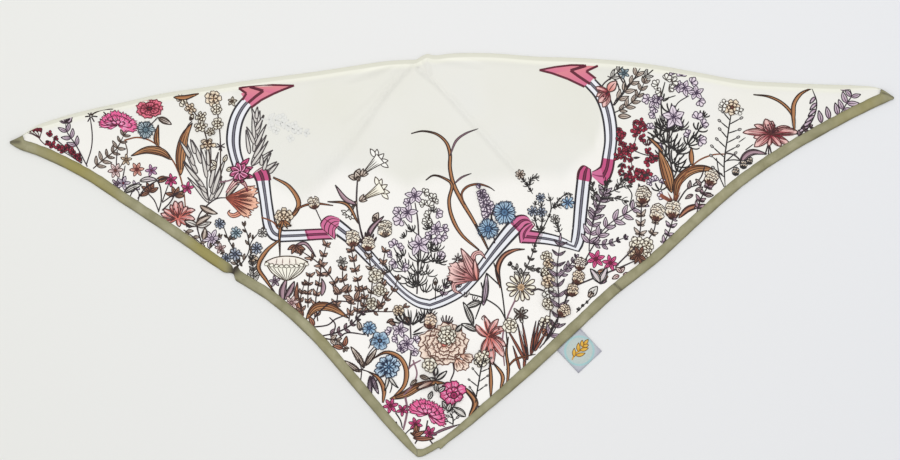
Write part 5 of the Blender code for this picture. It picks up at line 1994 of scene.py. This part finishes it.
def right_wing(p, rng):
    # beside the arrowhead
    for path in ([(184, -42), (192, -28), (200, -21), (204, -12)],
                 [(202, -50), (208, -36), (204, -24), (196, -20)], [(212, -36), (222, -24), (232, -18)],
                 [(206, -16), (214, -30)]):
        stalk(p, path, "plum", 1.2)
    curled(p.at(197, -36), ((250, 17, 8, -20), (200, 13, 7, 10), (160, 14, 6, -10), (228, 15, 8, 0)),
           "pink", ((235, 8), (215, 7)))
    p.petal((197, -36), 62, 14, 9, -20, "coral", 1, tip="pink", line="rust")
    sprig(p, [(203, -50), (213, -37), (222, -25), (231, -9)], "greybrown", rng, 5, 11, 4.4, 44, taper=0.2,
          stem="slate")
    stalk(p, [(205, -46), (214, -32), (212, -22), (204, -20)], "slate", 1.1)
    sprig(p, [(198, -24), (206, -16), (214, -8)], "grey", rng, 3, 8, 3, 44, taper=0.2)
    sprig(p, [(202, -58), (214, -52), (226, -42), (234, -26)], "greybrown", rng, 6, 9.5, 3.4, 42, taper=0.1,
          stem="slate")
    sprig(p, [(232, -22), (240, -16), (246, -10)], "grey", rng, 2, 9, 3.2, 40)
    star(p.at(213, -17), 6, "teal", rng, 5)
    p.petal((207, -61), -2, 13, 5, 0, "greybrown", 1)
    # crimson clusters
    stalk(p, [(230, -66), (224, -88), (220, -104), (224, -122)], "crimson", 0.8)
    stalk(p, [(222, -96), (232, -100), (240, -102)], "slate", 0.9)
    berries(p, [(230, -68), (224, -68), (208, -75), (212, -80), (225, -79), (231, -84), (210, -89),
                (220, -92), (224, -94), (210, -98), (217, -97), (213, -104), (220, -106), (238, -98),
                (242, -103), (238, -107), (245, -105), (220, -115), (226, -118), (231, -119), (218, -121),
                (221, -127), (232, -126), (209, -118), (234, -72), (228, -75), (208, -84), (214, -92),
                (212, -112), (206, -103), (228, -124), (236, -121)], 4.1, "crimson")
    needles(p.at(237, -92, 90), 6, "crimson", rng, 5, 110)
    for x, y, a in ((222, -104, 0), (228, -130, 280), (232, -122, 0), (206, -114, 40), (215, -120, 200)):
        p.blade((x, y), a, 8, 2.6, 10, leaf_shape, (dark("slate"), deep("slate")))
    # lilac phlox and its dark spikes
    stalk(p, [(252, -66), (251, -44), (255, -26)], "slate", 1.2)
    stalk(p, [(253, -44), (266, -40)], "slate", 0.9)
    stalk(p, [(262, -62), (268, -48), (280, -40)], "slate", 0.9)
    stalk(p, [(266, -148), (263, -120), (259, -96), (260, -72)], "slate", 1.5)
    stalk(p, [(256, -100), (250, -84), (254, -68)], "slate", 1.1)
    stalk(p, [(264, -106), (276, -92), (288, -78), (292, -70)], "slate", 1.1)
    for x, y, a, r, n in ((261, -78, 90, 17, 17), (256, -90, 100, 13, 11), (262, -96, 70, 14, 11),
                          (264, -112, 60, 15, 9), (268, -120, 70, 16, 9), (254, -104, 110, 11, 7),
                          (278, -92, 50, 11, 9), (286, -86, 40, 9, 7), (249, -82, 110, 9, 7),
                          (260, -58, 80, 10, 7), (288, -76, 60, 9, 6), (252, -46, 90, 8, 6),
                          (245, -82, 150, 8, 5), (250, -138, 100, 9, 6)):
        needles(p.at(x, y, a), r, "slate", rng, n * 0.66, 140, 1.55)
    for x, y, a, r in ((270, -76, 70, 11), (252, -74, 110, 10), (268, -100, 60, 12), (262, -128, 90, 13),
                       (294, -62, 60, 6)):
        needles(p.at(x, y, a), r, "slate", rng, 5, 120, 1.5)
    for x, y, r in ((264, -62, 13), (275, -32, 9), (287, -37, 8), (268, -30, 7), (244, -46, 7.5),
                    (248, -43, 6)):
        phlox(p.at(x, y), r, "lilac", rng)
    for x, y, a, r in ((256, -24, 60, 7), (262, -26, 10, 7), (248, -29, 160, 7), (251, -36, 200, 6),
                       (259, -32, -10, 6), (245, -53, 220, 6), (244, -59, 200, 6), (238, -44, 170, 7),
                       (282, -27, 30, 7), (290, -45, -40, 7), (240, -74, 90, 6), (288, -64, 70, 8),
                       (293, -70, 30, 7), (280, -80, 150, 6), (290, -86, -10, 8), (245, -128, 100, 6),
                       (241, -129, 180, 5), (253, -142, 200, 6), (252, -130, 60, 5), (252, -92, 190, 5),
                       (272, -20, 80, 7), (264, -18, 110, 6)):
        lips(p.at(x, y, a), r, "lilac" if y < -40 or x > 262 else "white", rng)
    # brown blades
    grass(p, [(262, -140), (258, -124), (253, -108), (249, -96)], 11, "brown", leaf_shape, 4)
    grass(p, [(253, -98), (246, -90), (237, -82)], 3.2, "brown", veins=0)
    grass(p, [(266, -148), (268, -130), (280, -118), (296, -115), (314, -121)], 8.5, "brown", leaf_shape, 4)
    stalk(p, [(266, -148), (274, -124), (288, -108), (304, -101), (318, -100)], "brown", 1.3)
    stalk(p, [(250, -142), (260, -148), (266, -152)], "rust", 3.0)
    grass(p, [(283, -112), (282, -102), (282, -93)], 4.5, "brown", leaf_shape, 1)
    grass(p, [(269, -166), (280, -156), (298, -152)], 5.5, "rust", leaf_shape, 2)
    # clover heads
    whorled(p, [(226, -196), (230, -176), (231, -150)], "greybrown", rng, 5, 9, "plum")
    whorled(p, [(238, -188), (244, -178), (246, -166)], "greybrown", rng, 2, 8, "plum")
    whorled(p, [(252, -196), (260, -178), (264, -164)], "mauve", rng, 4, 8.5, "plum")
    whorled(p, [(288, -160), (292, -146), (300, -132)], "plum", rng, 4, 9)
    stalk(p, [(268, -150), (278, -136), (292, -130), (302, -118)], "slate", 1.2)
    stalk(p, [(284, -132), (292, -124), (296, -112)], "plum", 1.1)
    for x, y, a in ((286, -138, 20), (284, -142, 200), (279, -136, 70), (292, -133, 120), (296, -142, -10)):
        p.petal((x, y), a, 9, 3.6, 14, "plum", 1, tip="greybrown")
    for a in (58, 84, 112, 136):
        p.blade((264, -152), a, 15, 2.2, 8, lance_shape, (dark("rust"), deep("rust")))
    clover(p.at(233, -142, 85), 9.5, "cream", rng, "rust", 6)
    clover(p.at(247, -160, 80), 9.5, "cream", rng, "rust")
    clover(p.at(263, -157, 85), 9.5, "cream", rng, "rust")
    clover(p.at(303, -124, 70), 9, "cream", rng, "rust")
    for x, y, r, tint in ((226, -193, 8, "cream"), (236, -194, 8, "cream"), (224, -202, 7, "tan"),
                          (233, -202, 7, "cream")):
        frilled(p.at(x, y, rng.uniform(0, 360)), r, tint, rng, SEVEN_SMALL, 0.05, 2)
    for a in (200, 240, 280, 320, 60, 110):
        p.blade((228, -204), a, 10, 3.6, 12, leaf_shape, (dark("rust"), pale("rust")), dark("rust"), 1)
    # dark sprays under the crumpled end of the band
    for path in ([(180, -152), (192, -143), (206, -136), (218, -132)],
                 [(186, -146), (200, -145), (214, -148)], [(194, -142), (193, -134), (196, -128)],
                 [(182, -150), (182, -140), (180, -132)], [(206, -137), (209, -130), (214, -126)]):
        spiky(p, path, "slate", rng, 4, 5.5, 3, 100)
        sprig(p, path, "grey", rng, 4, 5.5, 2.2, 46, taper=0.2, both=False, stem="slate")
    sprig(p, [(180, -172), (184, -158), (192, -142)], "mauve", rng, 5, 9, 3, 60, taper=0.2)
    stalk(p, [(216, -133), (221, -142), (218, -154)], "slate", 0.9)
    stalk(p, [(204, -216), (214, -206), (224, -196)], "slate", 1.3)
    for x, y, a in ((208, -222, 40), (210, -222, 130), (212, -224, 0), (208, -225, 200)):
        p.petal((x, y), a, 8, 4, 12, "blush", 1, line="rust")
    # the pod branch
    pods(p, [(317, -134), (316, -110), (319, -86), (322, -66), (324, -54)], "slate", rng, 14, 15, 1.7)
    frilled(p.at(324, -52), 8.5, "tan", rng, SEVEN_WIDE, 0.05, 2, "rust")
    cluster(p, [(314, -52), (316, -48), (331, -56)], 4.5, "white", rng)
    stalk(p, [(316, -134), (311, -122), (308, -104)], "slate", 0.9)
    # the mauve leaf and small flowers by the hem
    stalk(p, [(318, -99), (326, -101), (333, -107), (337, -114)], "slate", 1.3)
    grass(p, [(333, -112), (337, -103), (346, -98), (360, -100)], 6.5, "plum", leaf_shape, 2)
    stalk(p, [(318, -107), (326, -106), (333, -107)], "slate", 1.0)
    for x, y, r in ((328, -118, 4.5), (336, -111, 4.5), (342, -107, 4)):
        clover(p.at(x, y, 80), r, "grey", rng, "slate", 2)
    stalk(p, [(338, -96), (346, -90)], "grey", 0.9)
    for a in (250, 268, 284):
        stalk(p, [(362, -88), (362 + 12 * math.cos(math.radians(a)),
                               -88 + 14 * math.sin(math.radians(a)))], "plum", 1.2)
    curled(p.at(364, -80), ((150, 20, 6, 30), (-170, 18, 6.5, 0), (176, 29, 7, 24), (-100, 12, 6, 0),
                            (-143, 21, 9, 10), (-25, 21, 7, 15), (-48, 16, 7, 10), (20, 21, 8, -20),
                            (2, 30, 7.5, -45), (84, 14, 7, -10), (110, 17, 9.5, 0)), "pink",
           ((60, 10), (80, 11), (100, 10), (40, 9), (120, 9), (20, 8), (140, 8)), "crimson", 0.24, 0.5)
    for a, reach in ((150, 15), (176, 20), (-143, 15), (-25, 15), (2, 21), (20, 15), (110, 12), (84, 10)):
        p.blade((364, -80), a, reach, 1.1, 6, lance_shape, (dark("pink"), dark("pink")))
    p.stroke([(331, -88), (338, -83)], dark("slate"), 1.0)
    # brown grass arches and ferns
    grass(p, [(388, -76), (386, -60), (376, -48), (362, -41), (346, -39)], 2.6, "brown", veins=0)
    grass(p, [(388, -76), (387, -60), (388, -48), (395, -38), (407, -32)], 4.2, "brown", veins=1)
    fern = smooth_path([(401, -76), (409, -60), (411, -46), (406, -33)])
    p.stroke([(401, -76), (409, -60), (411, -46), (406, -33)], dark("slate"), 1.3)
    for k in range(6):
        (x, y), _ = along(fern, 0.1 + 0.14 * k)
        p.petal((x, y), 203 + 4 * k, 15 - 1.2 * k, 3.2, 14, "mauve")
    sprig(p, [(392, -84), (398, -76), (404, -72)], "plum", rng, 3, 8, 3.4, 60)
    sprig(p, [(436, -58), (442, -48), (447, -40), (444, -32)], "mauve", rng, 4, 12, 5, 62, taper=0.15)
    for x, y, a in ((424, -64, 100), (433, -60, 100), (416, -68, 100)):
        p.petal((x, y), a, 13, 5, 6, "mauve", 1)


# ---------------------------------------------------------------- laying the print on the silk

PALETTE = 16  # cells a side in the print's colour map
CELL_EDGE = 0.12  # kept clear inside each cell
SMALLEST_AREA = 1e-6  # twice the area of the smallest triangle worth keeping
LABEL_LIFT = 0.26  # the twig on the label lies this much above the label's middle


def clip_shape(points, faces, values, room):
    """Cuts triangles at room = 0 and keeps the side where room is positive. values go with the points."""
    inside = room[faces] > 0
    kept = [faces[inside.all(axis=1)]]
    extra_points, extra_values, extra_faces = [], [], []
    total = len(points)
    for face in faces[inside.any(axis=1) & ~inside.all(axis=1)]:
        ring = []
        for a, b in zip(face, np.roll(face, -1)):
            if room[a] > 0:
                ring.append(int(a))
            if (room[a] > 0) != (room[b] > 0):
                f = room[a] / (room[a] - room[b])
                extra_points.append(points[a] + (points[b] - points[a]) * f)
                extra_values.append(values[a] + (values[b] - values[a]) * f)
                ring.append(total + len(extra_points) - 1)
        extra_faces += [(ring[0], ring[i], ring[i + 1]) for i in range(1, len(ring) - 1)]
    if extra_points:
        points = np.vstack([points, extra_points])
        values = np.vstack([values, extra_values])
        kept.append(np.array(extra_faces))
    return points, np.concatenate(kept), values


def print_material():
    """Printed silk: the ink's colour is kept on the mesh, point by point."""
    material, tree, shader = new_material("printed_silk", 0.5)
    ink = add(tree, "ShaderNodeVertexColor", layer_name="ink")
    tree.links.new(ink.outputs["Color"], shader.inputs["Base Color"])
    shader.inputs["Sheen Weight"].default_value = 0.15
    shader.inputs["Specular IOR Level"].default_value = 0.3
    return material


def linear(colours):
    """Colours from 0..255 display values, as linear light."""
    c = np.asarray(colours, float) / 255
    return np.where(c <= 0.04045, c / 12.92, ((c + 0.055) / 1.055) ** 2.4)


def gather(records):
    """A zone's shapes as one: points, triangles, and each point's t, s, ink and level."""
    start, parts, faces = 0, [], []
    for points, f, t, s, ink, level in records:
        parts.append(np.column_stack([points, t, s, ink, level]))
        faces.append(f + start)
        start += len(points)
    rows = np.concatenate(parts)
    return rows[:, :2], np.concatenate(faces), rows[:, 2:]


def turn_up(points, faces):
    """Turns every triangle to face up, and leaves out those with no area."""
    corners = points[faces]
    area = np.cross(corners[:, 1] - corners[:, 0], corners[:, 2] - corners[:, 0])
    faces = np.where((area < 0)[:, None], faces[:, ::-1], faces)
    return faces[np.abs(area) > SMALLEST_AREA]


def triangle_mesh(name, world, faces):
    mesh = bpy.data.meshes.new(name)
    mesh.vertices.add(len(world))
    mesh.vertices.foreach_set("co", world.astype(np.float32).ravel())
    mesh.loops.add(faces.size)
    mesh.loops.foreach_set("vertex_index", faces.astype(np.int32).ravel())
    mesh.polygons.add(len(faces))
    mesh.polygons.foreach_set("loop_start", np.arange(0, faces.size, 3, dtype=np.int32))
    mesh.update(calc_edges=True)
    return mesh


def paint(mesh, faces, inks, t, s, ink):
    """Gives each point its colour, and its place in the print's colour map."""
    start, end = (linear([pair[k] for pair in inks])[ink] for k in (0, 1))
    colour = start + (end - start) * t[:, None]
    attribute = mesh.color_attributes.new("ink", "FLOAT_COLOR", "POINT")
    rgba = np.column_stack([colour, np.ones(len(colour))]).astype(np.float32)
    attribute.data.foreach_set("color", rgba.ravel())
    layer = mesh.uv_layers.new(name="OFBake")
    inner = 1 - 2 * CELL_EDGE
    u = (ink % PALETTE + CELL_EDGE + inner * np.clip(t, 0, 1)) / PALETTE
    v = (ink // PALETTE + CELL_EDGE + inner * np.clip(s, 0, 1)) / PALETTE
    uv = np.column_stack([u, v])[faces.ravel()].astype(np.float32)
    layer.data.foreach_set("uv", uv.ravel())


def lay_print(press, zone, material, height, room_of):
    """Makes one printed piece from everything drawn in a zone."""
    points, faces, values = gather(press.shapes[zone])
    if room_of:
        points, faces, values = clip_shape(points, faces, values, room_of(points))
    used, faces = np.unique(faces, return_inverse=True)
    faces = faces.reshape(-1, 3)
    points, values = points[used], values[used]
    t, s, ink, level = values.T
    faces = turn_up(points, faces)
    x, y = points.T
    mesh = triangle_mesh(zone, to_world(x, y, height(x, y) + LIFT + LEVEL * level), faces)
    paint(mesh, faces, sorted(press.inks, key=press.inks.get), t, s, np.round(ink).astype(int))
    mesh.shade_smooth()
    mesh.validate()
    obj = bpy.data.objects.new(zone, mesh)
    mesh.materials.append(material)
    bpy.context.scene.collection.objects.link(obj)
    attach(obj, "root")
    return obj


def silk_room(points):
    """How far inside the printed part of the silk a point is."""
    x, y = points.T
    start = np.interp(x, START_X, START_D) * roll_scale(x)
    return np.minimum(fold_y(x) - start - y, y - cloth_y(x) + TRIM)


def label_sprig(p):
    """A little gold twig woven on the label: nobody's mark."""
    start, _, out = label_frame()
    x, y = start + out * LABEL_LENGTH * 0.5
    twig = p.at(x, y, -38)
    stem = [(0, -12), (-1.5, -5), (1, 2), (0, 9)]
    twig.stroke(stem, deep("gold"), 1.8)
    for at, side, reach in ((-8, -1, 9), (-6, 1, 10), (-1, -1, 9), (1, 1, 9), (5, -1, 7), (6, 1, 6)):
        twig.petal((0, at), 90 - side * 48, reach, 3.6, side * 18, "gold", lw=0.7)
    twig.petal((0, 8), 90, 7, 3.4, 0, "gold", lw=0.7)


# Each printed piece: its name, the seed of its random source where it has one, and what draws it
ZONES = (
    ("print_frame_left", None, ribbon_left),
    ("print_frame_middle", None, ribbon_middle),
    ("print_frame_right", None, ribbon_right),
    ("print_left_wing", 4, left_wing),
    ("print_ghost", 5, ghost_print),
    ("print_left_garden", 6, centre_left),
    ("print_middle_garden", 7, centre_middle),
    ("print_right_garden", 8, centre_right),
    ("print_lower_garden", 9, lower),
    ("print_right_wing", 10, right_wing),
    ("label_twig", None, label_sprig),
)


def over_label(x, y):
    return label_z(x, y) + LABEL_LIFT


def make_print():
    """Draws every zone in order, then makes a piece of each."""
    press = Press()
    pen = Pen(press)
    for zone, seed, draw in ZONES:
        press.zone = zone
        if seed is None:
            draw(pen)
        else:
            draw(pen, random.Random(seed))
    material = print_material()
    pieces = []
    for zone, *_ in ZONES:
        if zone == "label_twig":
            piece = lay_print(press, zone, material, over_label, None)
        else:
            piece = lay_print(press, zone, material, top_z, silk_room)
        pieces.append(piece)
    return pieces


# ---------------------------------------------------------------- stage, light and camera


FLOOR_HALF = 3.0  # half the side of the floor, in metres
FLOOR_RAMP = 0.5  # the floor's tone goes from one end to the other between -this and this
SKY_STRENGTH, LAMP_POWER = 0.73, 17
LAMP_SIZE, LAMP_PLACE = (1.6, 1.0), (-0.1, 0.75, 2.3)  # a broad soft window high behind the fold


def make_stage():
    """A plain pale tabletop."""
    material, tree, shader = new_material("tabletop", 0.8)
    vector = coordinates(tree)
    place = add(tree, "ShaderNodeSeparateXYZ")
    tree.links.new(vector, place.inputs["Vector"])
    scaled = add(tree, "ShaderNodeMapRange")
    scaled.inputs["From Min"].default_value = -FLOOR_RAMP
    scaled.inputs["From Max"].default_value = FLOOR_RAMP
    tree.links.new(place.outputs["X"], scaled.inputs["Value"])
    colours = ramp(
        tree,
        scaled.outputs["Result"],
        ((0.0, srgb(238, 238, 234)), (0.5, srgb(238, 238, 238)), (1.0, srgb(237, 238, 241))),
    )
    tree.links.new(colours.outputs["Color"], shader.inputs["Base Color"])
    corners = [(x * FLOOR_HALF, y * FLOOR_HALF, 0) for x, y in ((-1, -1), (1, -1), (1, 1), (-1, 1))]
    floor = new_object("tabletop", corners, [(0, 1, 2, 3)], material, smooth=False)


def make_light():
    world = bpy.data.worlds.new("daylight")
    world.use_nodes = True
    sky = world.node_tree.nodes["Background"]
    sky.inputs["Color"].default_value = (0.98, 0.99, 1.0, 1)
    sky.inputs["Strength"].default_value = SKY_STRENGTH
    bpy.context.scene.world = world
    lamp = bpy.data.lights.new("window", "AREA")
    lamp.shape = "RECTANGLE"
    lamp.size, lamp.size_y = LAMP_SIZE
    lamp.energy = LAMP_POWER
    lamp.color = (1.0, 0.985, 0.95)
    obj = bpy.data.objects.new("window", lamp)
    obj.location = LAMP_PLACE
    obj.rotation_euler = (-obj.location).to_track_quat("-Z", "Y").to_euler()
    bpy.context.scene.collection.objects.link(obj)


VIEW_X, VIEW_Y = 34.0, -178.2  # what the camera is above, in millimetres from the middle of the fold
FRAME_WIDTH = 0.927  # metres across the picture
LENS, SENSOR = 60, 36


def make_camera():
    """Straight above the scarf."""
    camera = bpy.data.cameras.new("camera")
    camera.lens = LENS
    camera.sensor_width = SENSOR
    obj = bpy.data.objects.new("camera", camera)
    distance = FRAME_WIDTH * camera.lens / camera.sensor_width
    obj.location = ((VIEW_X - CENTRE_X) * MM, (VIEW_Y - CENTRE_Y) * MM, distance)
    bpy.context.scene.collection.objects.link(obj)
    bpy.context.scene.camera = obj
    bpy.context.scene.view_settings.view_transform = "Standard"


# Each layer's hem: word, height it stands on, its own height, how far it peeks out, gathers' phase
HEMS = (("under", 0.05, 1.2, UNDER_PEEK, 1.0), ("upper", 1.4, 1.6, 0.0, 3.0))


def main():
    silk = silk_material()
    hem = hem_material()
    cloth = make_cloth(silk)
    pieces = []
    for side, word in ((-1, "left"), (1, "right")):
        for layer, low, height, peek, phase in HEMS:
            name, node = f"binding_{layer}_{word}", f"hem_{layer}_{word}"
            pieces.append(make_hem(name, node, side, low, height, peek, phase + side, hem))
    pieces.append(make_label())
    pieces += make_print()
    make_stage()
    make_light()
    make_camera()


main()
